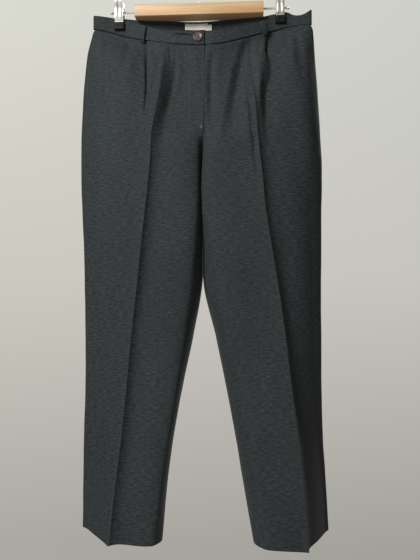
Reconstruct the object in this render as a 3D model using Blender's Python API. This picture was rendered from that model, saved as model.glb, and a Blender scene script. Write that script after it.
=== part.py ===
"""Pleated dress trousers hanging from a wooden clip hanger.

Metres, +Z up. The origin is the hang point, under the crown of the hook's wire. The front of the
trousers faces -Y. Right and left are the wearer's, so the right leg lies at -X.

Every panel is worked out from the section tables below. A section is the plan outline of one leg at
one share of the way down from the waist seam to the hem: side seam, front crease, inner turn, inner
seam, back turn and back crease. The cloth is a wall of even thickness along that outline.
"""

import math

import bmesh
import bpy
import numpy as np
from mathutils import Matrix

MM = 0.001

# Cloth
CLOTH_WALL = 1.0 * MM
BAND_WALL = 2.4 * MM
SEAM_GAP = 0.3 * MM
HEM_DROP = 1137 * MM
LEVEL_DROP = 135 * MM
BUTTON_DIAMETER = 18 * MM
BUTTON_LIFT = 0.4 * MM
LOOP_WIDTH = 9.5 * MM
LOOP_WALL = 1.4 * MM
LOOP_TAIL = 7.5 * MM
LOOP_BOW = 2.2 * MM
ZIP_LENGTH_SHARE = 0.165

# Fly and waist
FRONT_END_X = 12.5 * MM  # where the right half of the band ends, and the fly edge starts
BAND_UNDERLAP_X = -20 * MM  # where the left half ends, behind the right one
BAND_UNDERLAP_STEP = 2.95 * MM
BAND_STEP_START, BAND_STEP_RUN = 22 * MM, 21 * MM
FLY_UNDERLAP_STEP = 1.8 * MM
FLY_STEP_START, FLY_STEP_RUN = 14 * MM, 13 * MM
UNDERLAP_SINK, ZIP_SINK, ZIP_THICKNESS = 4.1 * MM, 2.1 * MM, 1.6 * MM
WAIST_BLEND = 0.06  # share of the way down over which a leg's section leaves the band's curve

# Hanger
BAR_LENGTH, BAR_HEIGHT, BAR_DEPTH = 260 * MM, 24 * MM, 26 * MM
BAR_TOP_DROP = 68.2 * MM
ROD_RADIUS = 1.8 * MM
ROD_DROP = 81 * MM
ROD_SEAT = 18 * MM
HOOK_WIRE_RADIUS = 1.9 * MM
HOOK_INNER_RADIUS = 21 * MM
HOOK_NECK = ((0.5, 56), (1.9, 52.2), (4.3, 48.6), (7.3, 45.6), (10.8, 42.8))  # x and drop, in mm
CLIP_X = 163.4 * MM
CLIP_WIDTH = 20.5 * MM
CLIP_DROPS = {"right": 37.0 * MM, "left": 32.5 * MM}  # lower edge of the pads under the rod
PAD_HEIGHT = 15.5 * MM
PAD_DEPTH = 5.2 * MM
PAD_FACE_Y = 3.15 * MM
PAD_GRIP = 9 * MM
JAW_WALL = 1.0 * MM
JAW_CLEAR = 0.35 * MM
JAW_PROFILE = ((8.6, -9), (8.6, 5), (12, 17), (13.5, 31))  # reach from the rod and rise over it, in mm
EAR_REACH, EAR_HALF_HEIGHT = 3.4 * MM, 4.5 * MM

# Waist: plan depth of the band between the clips, and how far it hangs under the hang point
BAND_PINCH_Y = 1.6 * MM
BAND_SIDE_RADIUS = 3.8 * MM
PINCH_INNER_X, PINCH_OUTER_X = 150 * MM, 176 * MM
FRONT_SAG_SEAM, FRONT_SAG_TOP, BACK_SAG = 31 * MM, 27 * MM, 13 * MM
SIDE_FOLD_X = {"right": 213.0 * MM, "left": 221.8 * MM}

WAIST_COLUMNS = ("x", "seam", "top")
FRONT_WAIST = (
    (-218, 114, 86.5), (-183, 121, 91), (-163, 127, 95), (-119, 140.5, 110.5), (-77, 152, 126),
    (-26, 161.5, 134), (12, 163, 133.5), (48, 159, 133), (89, 146.5, 125), (129, 133, 108.5),
    (159, 124.5, 94), (175, 121, 90), (192, 119, 95), (208, 117.5, 95), (226, 116.5, 88),
)
BACK_WAIST = (
    (-218, 114, 86.5), (-163, 122, 92.5), (-131, 124, 95), (-70, 126.5, 95.5), (0, 131, 97.5),
    (70, 126, 94.4), (131, 124, 93.6), (163, 121, 91.5), (226, 116.5, 88),
)

# One row for each section, in millimetres; down is in thousandths of the way to the hem.
SECTION_COLUMNS = (
    "down", "side_x", "side_y", "side_round", "crease_x", "crease_y", "turn_x", "turn_y", "seam_x",
    "seam_y", "centre_y", "back_centre_y", "back_turn_x", "back_turn_y", "back_crease_x", "back_crease_y",
)
SECTIONS = {
    "right": (
        (0, -216.8, 0, 4, -72, -22, -3, -32.3, 12.5, -8.5, -32.6, 14.6, -3, 14.4, -105, 9),
        (50, -230.5, 3, 13, -73, -37, -1, -38, 13.5, -8.5, -38, 21, -1, 21, -107, 19),
        (100, -237, 5, 22, -75.5, -46, 0, -42, 13.5, -8.5, -42, 25.5, 0, 26, -109, 27),
        (170, -242, 6, 28, -86, -52, 0, -44, 12.4, -8.5, -43.5, 27.5, -3, 28.5, -112, 31),
        (200, -243.8, 6, 29, -90, -53, 2, -44.5, 11.4, -8.5, -44, 27.5, -4, 28.5, -112.5, 32),
        (250, -244.3, 6, 30, -95, -54, 2.5, -45.5, 7.5, -8.5, -44.5, 27.5, -3, 28, -114, 33),
        (290, -244, 6, 30, -98.5, -54, 2.4, -46, 6.05, -8.5, -45, 27.5, 5, 27, -114.5, 34),
        (350, -242, 6, 30, -105.5, -53, 1.5, -46, 6.05, -5, -45, 27.5, 7.5, 25, -115.5, 35),
        (430, -238.6, 6, 28, -114, -50.5, -4, -46, 5.8, -2, -45, 27.5, 7.5, 23, -116.5, 36),
        (500, -236.7, 5.5, 27, -118.5, -47.5, -11, -44, 4.9, 1, -45, 27.5, 4, 22, -117.5, 37),
        (600, -235.4, 5, 24, -128.5, -44, -24, -40, -11, -3, -45, 27.5, -20, 17, -120, 38),
        (710, -235.3, 5, 20, -140, -46, -41, -40, -33.5, -10, -45, 27.5, -43, 9, -123, 38),
        (810, -238, 5, 17, -152.5, -54, -56.5, -47, -50.5, -18, -45, 27.5, -60, 0, -126, 38),
        (910, -239.8, 5, 14, -161.5, -66, -70.5, -60, -62.5, -32, -45, 27.5, -72, -12, -128, 38),
        (1000, -241, 5, 12, -167.3, -76, -81.5, -72.5, -69, -47, -45, 27.5, -79, -26, -129, 38),
    ),
    "left": (
        (0, 225.6, 0, 4, 110, -13, 30, -31, 7, -8.5, -30.8, 14.6, 16, 14.4, 110, 9),
        (50, 230, 3, 12, 110, -31, 30, -37, 8, -8.5, -36.1, 21, 15, 21, 111, 18),
        (100, 234.8, 5, 21, 112, -43, 30, -41, 8, -8.5, -40.1, 25.5, 14, 26, 112, 27),
        (170, 240.3, 7, 27, 117, -52, 29, -43.6, 7, -8.5, -41.4, 27.5, 16, 28.5, 114, 31),
        (188, 241.6, 7.3, 28, 118.5, -53.5, 24, -43.9, 9, -8.5, -41.7, 27.5, 16, 28.5, 114.6, 31.7),
        (203, 242.4, 7.6, 28, 119.8, -54, 21, -44.4, 12.1, -8.5, -42.1, 27.5, 16, 28.5, 115.1, 32.1),
        (227, 244.0, 8.1, 28, 122.2, -54.8, 16, -45.1, 11.2, -8.5, -44.3, 27.5, 16, 28.5, 116, 32.8),
        (250, 245.4, 8.5, 29, 124.5, -55.5, 12.5, -45.5, 9.0, -8.5, -44.5, 27.5, 15, 28, 117, 33.5),
        (290, 246.1, 9, 30, 129, -56, 10.5, -46, 7.35, -8.5, -45, 27.5, 15, 27, 118, 34),
        (350, 246.6, 10, 30, 134.5, -56.5, 12.3, -46, 7.35, -5, -45, 27.5, 17, 25, 120, 35),
        (430, 246.5, 11, 28, 147, -56.5, 24, -46, 7.7, -2, -45, 27.5, 19, 23, 123, 37),
        (500, 246, 12, 27, 158, -56.5, 34.5, -45, 9.2, 1, -45, 27.5, 22, 22, 126, 39),
        (600, 246.6, 14, 24, 171.5, -58.5, 51.5, -45, 33, -4, -45, 27.5, 40, 17, 131, 42),
        (710, 247.3, 16, 20, 185, -62, 76, -47, 56, -10, -45, 27.5, 66, 8, 138, 45),
        (810, 250.5, 18.5, 17, 199, -67.5, 97, -55, 75.5, -17, -45, 27.5, 86, 0, 143, 47),
        (910, 257, 21, 14, 208, -75, 115.5, -66, 93.5, -31, -45, 27.5, 103, -12, 147, 49),
        (1000, 262.5, 22, 12, 213, -80, 131, -74, 110.5, -47, -45, 27.5, 119, -24, 150, 50),
    ),
}
CROTCH_X = 6.7 * MM
CROTCH_START, CROTCH_END = 0.185, 0.29
FORK_START, FORK_END = 0.47, 0.62
SHOULDER_PUSH = 0.8  # how far the side bulges past the straight line to the crease
CREASE_SET_START, CREASE_SET_RUN, CREASE_SOFTNESS = 0.1, 0.2, 0.2

# The knife pleat of each front: its fold line's distance from the crease, toward the side seam
PLEAT_ZONE = 24 * MM
PLEAT_CREST_RUN, PLEAT_LEE_RUN, PLEAT_HOLLOW_RUN = 16 * MM, 40 * MM, 22 * MM
PLEAT_HOLLOW, PLEAT_LEE = 0.5, 0.25  # shares of its height that the pleat sinks the cloth beside it
PLEAT_OVERLAP_SWING = 9.5 * MM
PLEAT_RELEASE = 0.085
PLEAT_COLUMNS = ("down", "offset", "height")
PLEATS = {
    "right": (
        (0, -35, 2.8), (20, -33, 4), (50, -30, 7), (90, -24, 8), (145, -18, 6), (200, -13, 2),
        (270, -10, 0), (1000, -10, 0),
    ),
    "left": (
        (0, -26, 2.8), (20, -25, 4), (50, -24, 7), (90, -22, 8), (160, -15, 6), (210, -12, 2),
        (280, -10, 0), (1000, -10, 0),
    ),
}

# Soft troughs of a front panel, from the crease toward the centre (+) or the side seam (-)
TROUGH_COLUMNS = ("offset_top", "offset_low", "top", "low", "depth", "half_width")
TROUGHS = {
    "right": ((11, 14, 30, 190, 6.0, 7), (40, 44, 40, 160, 1.8, 8), (-128, -133, 10, 170, 3.2, 8)),
    "left": (
        (10, 12, 25, 150, 4.5, 5.5), (12, 60, 0, 190, 5.0, 7), (-82, -92, 15, 130, 3.2, 9),
        (78, 82, 30, 140, 1.8, 6),
    ),
}

DOWN_FINE = (0, 0.012, 0.026, 0.042, 0.058, 0.074, 0.09, 0.107, 0.125, 0.145, 0.168, 0.19)
DOWN_COARSE = (
    0.21, 0.235, 0.262, 0.29, 0.32, 0.36, 0.4, 0.45, 0.5, 0.56, 0.62, 0.69, 0.76, 0.83, 0.9, 0.95, 1,
)
# Shares across a front panel: side seam to pleat, pleat, pleat to crease, crease to turn, turn to seam
ZONES = (0, 0.3, 0.5, 0.6, 0.9, 1)
ACROSS_FINE = (
    0, 0.03, 0.07, 0.11, 0.155, 0.2, 0.25, 0.3, 0.325, 0.345, 0.36, 0.38, 0.4, 0.42, 0.44, 0.455,
    0.475, 0.5, 0.55, 0.6, 0.63, 0.66, 0.69, 0.73, 0.77, 0.81, 0.855, 0.9, 0.933, 0.966, 1,
)
ACROSS_COARSE = (
    0, 0.03, 0.07, 0.11, 0.2, 0.3, 0.36, 0.42, 0.5, 0.55, 0.6, 0.63, 0.69, 0.77, 0.855, 0.9, 0.933,
    0.966, 1,
)
# Shares across a back panel: side seam to crease, crease to turn, turn to seam
BACK_ZONES = (0, 0.45, 0.8, 1)
ACROSS_BACK = (0, 0.03, 0.07, 0.13, 0.21, 0.3, 0.38, 0.45, 0.52, 0.6, 0.68, 0.75, 0.8, 0.85, 0.92, 1)

UNDERLAP_ACROSS, ZIP_ACROSS = (0.83, 0.87, 0.9, 0.95, 0.99), (0.885, 0.915)

SIDES = {"right": -1, "left": 1}

FINISHES = {  # base colour, roughness, metallic
    "cloth": ((0.038, 0.045, 0.048), 0.85, 0.0),
    "label": ((0.66, 0.63, 0.56), 0.8, 0.0),
    "button": ((0.13, 0.075, 0.06), 0.45, 0.0),
    "zip": ((0.05, 0.055, 0.06), 0.5, 0.3),
    "wood": ((0.62, 0.4, 0.2), 0.45, 0.0),
    "steel": ((0.75, 0.74, 0.71), 0.25, 1.0),
    "rubber": ((0.015, 0.015, 0.016), 0.6, 0.0),
}


def ease(share):
    """Smooth rise from 0 to 1 as share goes from 0 to 1."""
    share = np.clip(share, 0.0, 1.0)
    return share * share * (3 - 2 * share)


def curve_through(rows, columns, name, at):
    """Smooth value of one named column of a table, read at a place in its first column."""
    table = np.array(rows, float)
    places, values = table[:, 0], table[:, columns.index(name)]
    at = np.clip(at, places[0], places[-1])
    steps = np.diff(places)
    slopes = np.diff(values) / steps
    tangents = np.empty_like(values)
    tangents[0], tangents[-1] = slopes[0], slopes[-1]
    tangents[1:-1] = (slopes[:-1] * steps[1:] + slopes[1:] * steps[:-1]) / (steps[1:] + steps[:-1])
    i = np.clip(np.searchsorted(places, at, side="right") - 1, 0, len(steps) - 1)
    t = (at - places[i]) / steps[i]
    return (
        (2 * t**3 - 3 * t**2 + 1) * values[i] + (t**3 - 2 * t**2 + t) * steps[i] * tangents[i]
        + (3 * t**2 - 2 * t**3) * values[i + 1] + (t**3 - t**2) * steps[i] * tangents[i + 1]
    )


def waist_drop(rows, name, x):
    """How far the waist seam or the band's top edge hangs under the hang point at a place x."""
    return curve_through(rows, WAIST_COLUMNS, name, x / MM) * MM


def drop_at(rows, x, down):
    """Drop under the hang point: rows of points follow the waist seam above, and lie level below."""
    top = waist_drop(rows, "seam", x) + SEAM_GAP
    top += (LEVEL_DROP - top) * ease(down / CROTCH_END)
    return top + (HEM_DROP - top) * down


def band_y(side, x, sag):
    """Plan depth of the band's middle surface at x, unsigned: 0 at the side fold, most at the centre."""
    reach = abs(x)
    fold = SIDE_FOLD_X[side]
    if reach > fold:
        return math.sqrt(max(BAND_SIDE_RADIUS**2 - (reach - fold) ** 2, 0))
    if reach > PINCH_OUTER_X:
        flare = ease((reach - PINCH_OUTER_X) / (fold - PINCH_OUTER_X))
        return BAND_PINCH_Y + (BAND_SIDE_RADIUS - BAND_PINCH_Y) * flare
    if reach > PINCH_INNER_X:
        return BAND_PINCH_Y
    return BAND_PINCH_Y + sag * (1 - (reach / PINCH_INNER_X) ** 2) ** 1.3


def unit(vector):
    return vector / max(np.linalg.norm(vector), 1e-9)


def corner_direction(before, here, after):
    """Direction of a smooth curve at a corner, led by the nearer neighbour."""
    back, ahead = here - before, after - here
    return unit(unit(back) * np.linalg.norm(ahead) + unit(ahead) * np.linalg.norm(back))


def smooth_stretch(start, end, leaving, arriving, count):
    """Points of a cubic stretch between two anchors, without its last point."""
    reach = np.linalg.norm(end - start)
    t = np.linspace(0, 1, count, endpoint=False)[:, None]
    return (
        (2 * t**3 - 3 * t**2 + 1) * start + (t**3 - 2 * t**2 + t) * leaving * reach
        + (3 * t**2 - 2 * t**3) * end + (t**3 - t**2) * arriving * reach
    )


class Section:
    """Plan outline of one leg at one share of the way down."""

    STEPS = 40

    def __init__(self, side, down):
        value = {
            name: curve_through(SECTIONS[side], SECTION_COLUMNS, name, down * 1000) * MM
            for name in SECTION_COLUMNS[1:]
        }
        self.side, self.down = side, down
        at = {
            name: np.array([value[name + "_x"], value[name + "_y"]])
            for name in ("side", "crease", "turn", "seam", "back_turn", "back_crease")
        }
        to_crotch = ease((down - CROTCH_START) / (CROTCH_END - CROTCH_START))
        back_seam = np.array([value["seam_x"], value["seam_y"] + SEAM_GAP])
        if down < CROTCH_END:
            apart = SEAM_GAP / 2 + CLOTH_WALL / 2 * ease((down - 0.12) / 0.13)
            back_seam[0] = CROTCH_X * ease(down / CROTCH_END) + SIDES[side] * apart
        at["seam"][1] += (value["centre_y"] - at["seam"][1]) * (1 - to_crotch)
        back_seam[1] += (value["back_centre_y"] - back_seam[1]) * (1 - to_crotch)
        shoulders = {
            1: self.shoulder(at["side"], at["crease"], -1, value["side_round"]),
            -1: self.shoulder(at["side"], at["back_crease"], 1, value["side_round"]),
        }
        across_side = unit(shoulders[1] - shoulders[-1])
        below_fork = ease((down - 0.285) / 0.06)
        apart = ease((down - FORK_START) / (FORK_END - FORK_START))
        inner = unit(unit(at["back_turn"] - at["turn"]) * apart + np.array([0, 1 - apart])) * below_fork
        self.front = self.panel(
            [at["side"], shoulders[1], at["crease"], at["turn"], at["seam"]],
            across_side, unit(at["seam"] - at["turn"]) * (1 - below_fork) + inner,
        )
        self.back = self.panel(
            [at["side"], shoulders[-1], at["back_crease"], at["back_turn"], back_seam],
            -across_side, unit(back_seam - at["back_turn"]) * (1 - below_fork) - inner,
        )
        self.settle_on_band()

    def shoulder(self, side_point, crease_point, facing, radius):
        """Where the rounded side of the leg passes into its flat."""
        push = np.array([0, facing * SHOULDER_PUSH * (1 - self.down)])
        return side_point + unit(unit(crease_point - side_point) + push) * radius * math.sqrt(2)

    def panel(self, anchors, first, last):
        """Outline through a panel's anchors: points, and their run from the crease."""
        softness = 1 - (1 - CREASE_SOFTNESS) * ease((self.down - CREASE_SET_START) / CREASE_SET_RUN)
        stretches = []
        for i in range(len(anchors) - 1):
            chord = unit(anchors[i + 1] - anchors[i])
            leaving = first if i == 0 else corner_direction(anchors[i - 1], anchors[i], anchors[i + 1])
            arriving = (
                last if i == len(anchors) - 2
                else corner_direction(anchors[i], anchors[i + 1], anchors[i + 2])
            )
            if i == 2:
                leaving = chord * (1 - softness) + leaving * softness
            if i == 1:
                arriving = chord * (1 - softness) + arriving * softness
            stretches.append(smooth_stretch(anchors[i], anchors[i + 1], leaving, arriving, self.STEPS))
        return np.vstack(stretches + [anchors[-1][None]])

    def settle_on_band(self):
        """Near the waist the outline takes the curve of the band's lower edge."""
        share = 1 - ease(self.down / WAIST_BLEND)
        if share == 0:
            return
        for outline, facing, sag in ((self.front, -1, FRONT_SAG_SEAM), (self.back, 1, BACK_SAG)):
            for point in outline[self.STEPS:]:
                if abs(point[0]) < SIDE_FOLD_X[self.side]:
                    on_band = facing * band_y(self.side, point[0], sag)
                    if facing == -1 and self.side == "left":
                        behind = ease((FRONT_END_X + FLY_STEP_START - point[0]) / FLY_STEP_RUN)
                        on_band += FLY_UNDERLAP_STEP * behind
                    point[1] += (on_band - point[1]) * share

    def runs(self, outline):
        """Run along an outline, measured from its crease."""
        lengths = np.concatenate([[0], np.cumsum(np.linalg.norm(np.diff(outline, axis=0), axis=1))])
        return lengths - lengths[2 * self.STEPS]

    def read(self, outline, run, orient):
        """Point and outward direction of an outline at a run from its crease."""
        runs = self.runs(outline)
        nudge = 0.4 * MM
        point = np.array([np.interp(run, runs, outline[:, k]) for k in (0, 1)])
        low, high = max(run - nudge, runs[0]), min(run + nudge, runs[-1])
        ahead = np.array([np.interp(high, runs, outline[:, k]) for k in (0, 1)])
        behind = np.array([np.interp(low, runs, outline[:, k]) for k in (0, 1)])
        along = unit(ahead - behind)
        return point, np.array([along[1], -along[0]]) * orient


def pleat_at(side, down):
    """Offset of the pleat's fold line from the crease, its height, and the swing of its S fold."""
    offset, height = (
        curve_through(PLEATS[side], PLEAT_COLUMNS, name, down * 1000) * MM for name in ("offset", "height")
    )
    return offset, max(height, 0), PLEAT_OVERLAP_SWING * (1 - ease(down / PLEAT_RELEASE))


def trough_depth(side, down, run):
    """How far the soft troughs sink the front at a run from the crease."""
    total = 0.0
    for offset_top, offset_low, top, low, depth, half_width in TROUGHS[side]:
        share = (down * 1000 - top) / (low - top)
        if not 0 < share < 1:
            continue
        centre = (offset_top + (offset_low - offset_top) * share) * MM
        fade = math.sin(math.pi * share) ** 0.8
        total += depth * MM * fade * math.exp(-(((run - centre) / (half_width * MM)) ** 2))
    return total


class FrontPanel:
    """One front of the trousers, from its side seam to the fly, the crotch and the inner leg seam."""

    def __init__(self, side):
        self.side = side
        self.orient = -SIDES[side]
        self.sections = {}
        shares = np.linspace(0, 1, 201)
        self.top_x = (shares, np.array([self.plan(0.0, share)[0][0] for share in shares]))

    def section(self, down):
        if down not in self.sections:
            section = Section(self.side, down)
            runs = section.runs(section.front)
            offset, height, swing = pleat_at(self.side, down)
            stops = (
                runs[0] + SEAM_GAP / 2, offset - PLEAT_ZONE / 2, offset + PLEAT_ZONE / 2, 0.0,
                runs[3 * Section.STEPS], runs[-1] - SEAM_GAP / 2,
            )
            self.sections[down] = (section, stops, height, swing)
        return self.sections[down]

    def plan(self, down, share):
        """Plan point on the panel's middle surface, and the outward direction of its base outline."""
        section, stops, height, swing = self.section(down)
        run = float(np.interp(share, ZONES, stops))
        across_fold = float(np.clip((share - ZONES[1]) / (ZONES[2] - ZONES[1]), 0, 1))
        run += swing * math.sin(2 * math.pi * across_fold)
        point, outward = section.read(section.front, run, self.orient)
        step = ease((across_fold - 0.08) / 0.84)
        past_crest = ease(run / PLEAT_CREST_RUN)
        hollow = PLEAT_HOLLOW * (1 - step) * math.exp(-((min(run - stops[1], 0) / PLEAT_HOLLOW_RUN) ** 2))
        lee = PLEAT_LEE * step * past_crest * math.exp(-((run / PLEAT_LEE_RUN) ** 2))
        raised = height * (step * (1 - past_crest) - hollow - lee)
        return point + outward * (raised - trough_depth(self.side, down, run)), outward

    def point(self, down, share):
        """Point of the middle surface in space, and its outward direction across the wall."""
        plan, _ = self.plan(down, share)
        nudge = 0.0015
        low, high = max(share - nudge, 0), min(share + nudge, 1)
        along = unit(self.plan(down, high)[0] - self.plan(down, low)[0])
        outward = np.array([along[1], -along[0]]) * self.orient
        drop = drop_at(FRONT_WAIST, np.interp(share, *self.top_x), down)
        return np.array([plan[0], plan[1], -drop]), np.array([outward[0], outward[1], 0.0])


class BackPanel:
    """One back of the trousers, from its side seam to the seat seam and the inner leg seam."""

    def __init__(self, side):
        self.side = side
        self.orient = SIDES[side]
        self.sections = {}
        shares = np.linspace(0, 1, 101)
        self.top_x = (shares, np.array([self.plan(0.0, share)[0][0] for share in shares]))

    def section(self, down):
        if down not in self.sections:
            section = Section(self.side, down)
            runs = section.runs(section.back)
            stops = (runs[0] + SEAM_GAP / 2, 0.0, runs[3 * Section.STEPS], runs[-1] - SEAM_GAP / 2)
            self.sections[down] = (section, stops)
        return self.sections[down]

    def plan(self, down, share):
        section, stops = self.section(down)
        return section.read(section.back, float(np.interp(share, BACK_ZONES, stops)), self.orient)

    def point(self, down, share):
        plan, outward = self.plan(down, share)
        drop = drop_at(BACK_WAIST, np.interp(share, *self.top_x), down)
        return np.array([plan[0], plan[1], -drop]), np.array([outward[0], outward[1], 0.0])


def material(name):
    """The named finish as a Principled material, made once."""
    if name not in bpy.data.materials:
        colour, roughness, metallic = FINISHES[name]
        made = bpy.data.materials.new(name)
        made.use_nodes = True
        shader = made.node_tree.nodes["Principled BSDF"]
        shader.inputs["Base Color"].default_value = (*colour, 1)
        shader.inputs["Roughness"].default_value = roughness
        shader.inputs["Metallic"].default_value = metallic
    return bpy.data.materials[name]


def add_object(name, mesh_builder, finish, smooth=True):
    """A new object from a bmesh, with its faces turned outward."""
    bmesh.ops.recalc_face_normals(mesh_builder, faces=mesh_builder.faces)
    mesh = bpy.data.meshes.new(name)
    mesh_builder.to_mesh(mesh)
    mesh_builder.free()
    if smooth:
        mesh.shade_smooth()
        mesh.set_sharp_from_angle(angle=math.radians(40))
    made = bpy.data.objects.new(name, mesh)
    bpy.context.scene.collection.objects.link(made)
    mesh.materials.append(material(finish))
    return made


def join_rows(builder, upper, lower):
    """Faces between two rows of (share, vertex), which may have different counts."""
    i = j = 0
    while i < len(upper) - 1 or j < len(lower) - 1:
        next_upper = upper[i + 1][0] if i < len(upper) - 1 else math.inf
        next_lower = lower[j + 1][0] if j < len(lower) - 1 else math.inf
        if abs(next_upper - next_lower) < 1e-9:
            builder.faces.new((upper[i][1], upper[i + 1][1], lower[j + 1][1], lower[j][1]))
            i, j = i + 1, j + 1
        elif next_upper < next_lower:
            builder.faces.new((upper[i][1], upper[i + 1][1], lower[j][1]))
            i += 1
        else:
            builder.faces.new((upper[i][1], lower[j + 1][1], lower[j][1]))
            j += 1


def cloth_wall(name, rows, finish, wall):
    """A closed wall around rows of (share, point, outward), from the top row to the lowest."""
    builder = bmesh.new()
    faces = {}
    for face, offset in (("outer", wall / 2), ("inner", -wall / 2)):
        faces[face] = [
            [(share, builder.verts.new(point + outward * offset)) for share, point, outward in row]
            for row in rows
        ]
        for upper, lower in zip(faces[face][:-1], faces[face][1:]):
            join_rows(builder, upper, lower)
    for edge in (0, -1):
        outer, inner = faces["outer"][edge], faces["inner"][edge]
        for i in range(len(outer) - 1):
            builder.faces.new((outer[i][1], outer[i + 1][1], inner[i + 1][1], inner[i][1]))
        outer, inner = ([row[edge][1] for row in faces[face]] for face in ("outer", "inner"))
        for i in range(len(rows) - 1):
            builder.faces.new((outer[i], outer[i + 1], inner[i + 1], inner[i]))
    return add_object(name, builder, finish)


def build_panels(fronts, backs):
    for side in SIDES:
        rows = [(down, ACROSS_FINE) for down in DOWN_FINE] + [(down, ACROSS_COARSE) for down in DOWN_COARSE]
        cloth_wall(
            f"front_{side}",
            [[(share, *fronts[side].point(down, share)) for share in across] for down, across in rows],
            "cloth", CLOTH_WALL,
        )
        cloth_wall(
            f"back_{side}",
            [[(share, *backs[side].point(down, share)) for share in ACROSS_BACK]
             for down in DOWN_FINE + DOWN_COARSE],
            "cloth", CLOTH_WALL,
        )


def band_station(side, face, x, level):
    """Middle point of the band at x: level 0 is the waist seam, 1 the top edge."""
    rows = FRONT_WAIST if face == "front" else BACK_WAIST
    drop = waist_drop(rows, "seam", x) * (1 - level) + waist_drop(rows, "top", x) * level
    if face == "front":
        y = -band_y(side, x, FRONT_SAG_SEAM * (1 - level) + FRONT_SAG_TOP * level)
        if side == "left":
            y += BAND_UNDERLAP_STEP * ease((FRONT_END_X + BAND_STEP_START - x) / BAND_STEP_RUN)
    else:
        y = band_y(side, x, BACK_SAG)
    return np.array([x, y, -drop])


def band_outline(side):
    """Stations round one half of the waistband, from its front end round the side fold to the back."""
    sign = SIDES[side]
    fold = SIDE_FOLD_X[side]
    front_end = FRONT_END_X if side == "right" else BAND_UNDERLAP_X
    front_stops = np.array([190, 176, 163, 150, 137, 122, 105, 85, 62, 38, 12]) * MM
    front = [("front", sign * stop) for stop in front_stops]
    if side == "left":
        front = [stop for stop in front if stop[1] > 40 * MM]
        front += [("front", x * MM) for x in (38, 33, 28, 23, 18, 13, 2, -9)]
    front = [("front", sign * fold)] + front + [("front", front_end)]
    bend = [
        (face, sign * (fold + BAND_SIDE_RADIUS * math.cos(math.radians(angle))))
        for face, angle in (("front", 60), ("front", 30), ("back", 0), ("back", 30), ("back", 60))
    ]
    back_stops = np.array([190, 176, 163, 150, 135, 115, 90, 60, 30]) * MM
    back = [("back", sign * stop) for stop in [fold, *back_stops]] + [("back", sign * SEAM_GAP / 2)]
    return front[::-1] + bend + back


def band_rows(side, levels, stations):
    """Rows of (share, point, outward) along stations of the band, one row for each level."""
    rows = []
    for level in levels:
        points = [band_station(side, face, x, level) for face, x in stations]
        row = []
        for i, point in enumerate(points):
            along = unit((points[min(i + 1, len(points) - 1)] - points[max(i - 1, 0)])[:2])
            outward = np.array([-along[1], along[0], 0.0]) * -SIDES[side]
            row.append((i / (len(points) - 1), point, outward))
        rows.append(row)
    return rows


def build_waistband():
    for side in SIDES:
        rows = band_rows(side, (1, 0.5, 0), band_outline(side))
        cloth_wall(f"waistband_{side}", rows, "cloth", BAND_WALL)


def front_strip(name, panel, across, downs, sink, wall, finish):
    """A strip that follows a front panel's points, moved in by sink."""
    rows = []
    for down in downs:
        row = []
        for share in across:
            point, outward = panel.point(down, share)
            row.append((share, point - outward * sink, outward))
        rows.append(row)
    return cloth_wall(name, rows, finish, wall)


def build_fly(fronts):
    """The underlap behind the fly and the closed zip between it and the right front."""
    right = fronts["right"]
    downs = np.linspace(0.004, ZIP_LENGTH_SHARE + 0.018, 9)
    front_strip("fly_underlap", right, UNDERLAP_ACROSS, downs, UNDERLAP_SINK, CLOTH_WALL, "cloth")
    downs = np.linspace(0.01, ZIP_LENGTH_SHARE, 9)
    front_strip("zip_chain", right, ZIP_ACROSS, downs, ZIP_SINK, ZIP_THICKNESS, "zip")


def build_pocket_facings(fronts):
    """The facing behind each side pocket's mouth, along the side seam."""
    for side in SIDES:
        front_strip(
            f"pocket_facing_{side}", fronts[side], ACROSS_FINE[1:4], DOWN_FINE[2:-1],
            CLOTH_WALL + SEAM_GAP, CLOTH_WALL, "cloth",
        )


def reach_at(panel, rows, x, drop):
    """Plan distance of a panel's surface from the mid-plane, at x and a drop just under the waist."""
    top = drop_at(rows, x, 0)
    points = [panel.point((drop - top) / (HEM_DROP - top), share)[0] for share in np.linspace(0, 1, 201)]
    return max(abs(point[1]) for point in points if abs(point[0] - x) < 2 * MM)


def build_belt_loop(name, side, face, panel, x, lean=0.0):
    """A strip of cloth bowed over the band, sewn at the band's top edge and on the panel under the seam."""
    facing, rows = (-1, FRONT_WAIST) if face == "front" else (1, BACK_WAIST)
    slope = band_station(side, face, x + 1 * MM, 0.5) - band_station(side, face, x - 1 * MM, 0.5)
    outward = unit(np.array([-facing * slope[1] / slope[0], facing, 0.0]))
    close = BAND_WALL / 2 + LOOP_WALL / 2 + SEAM_GAP
    path = (
        # level on the band, lift over it
        (0.95, 0.4 * MM), (0.88, 1.4 * MM), (0.7, LOOP_BOW), (0.4, LOOP_BOW), (0.12, LOOP_BOW),
        (0, 1.3 * MM),
    )
    strip = []
    for level, lift in path:
        row = []
        for k in (0, 0.5, 1):
            on_band = band_station(side, face, x + lean * (1 - level) + (k - 0.5) * LOOP_WIDTH, level)
            row.append((k, on_band + outward * (close + lift), outward))
        strip.append(row)
    over_seam, foot = [], []
    for k, point, _ in strip[-1]:
        drop = -point[2] + LOOP_TAIL
        reach = reach_at(panel, rows, point[0], drop) + CLOTH_WALL / 2 + LOOP_WALL / 2 + 2 * SEAM_GAP
        foot.append((k, np.array([point[0], facing * reach, -drop]), outward))
        reach = max(reach, abs(point[1]))
        over_seam.append((k, np.array([point[0], facing * reach, point[2] - 0.25 * LOOP_TAIL]), outward))
    return cloth_wall(name, strip[:-1] + [over_seam, foot], "cloth", LOOP_WALL)


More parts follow.
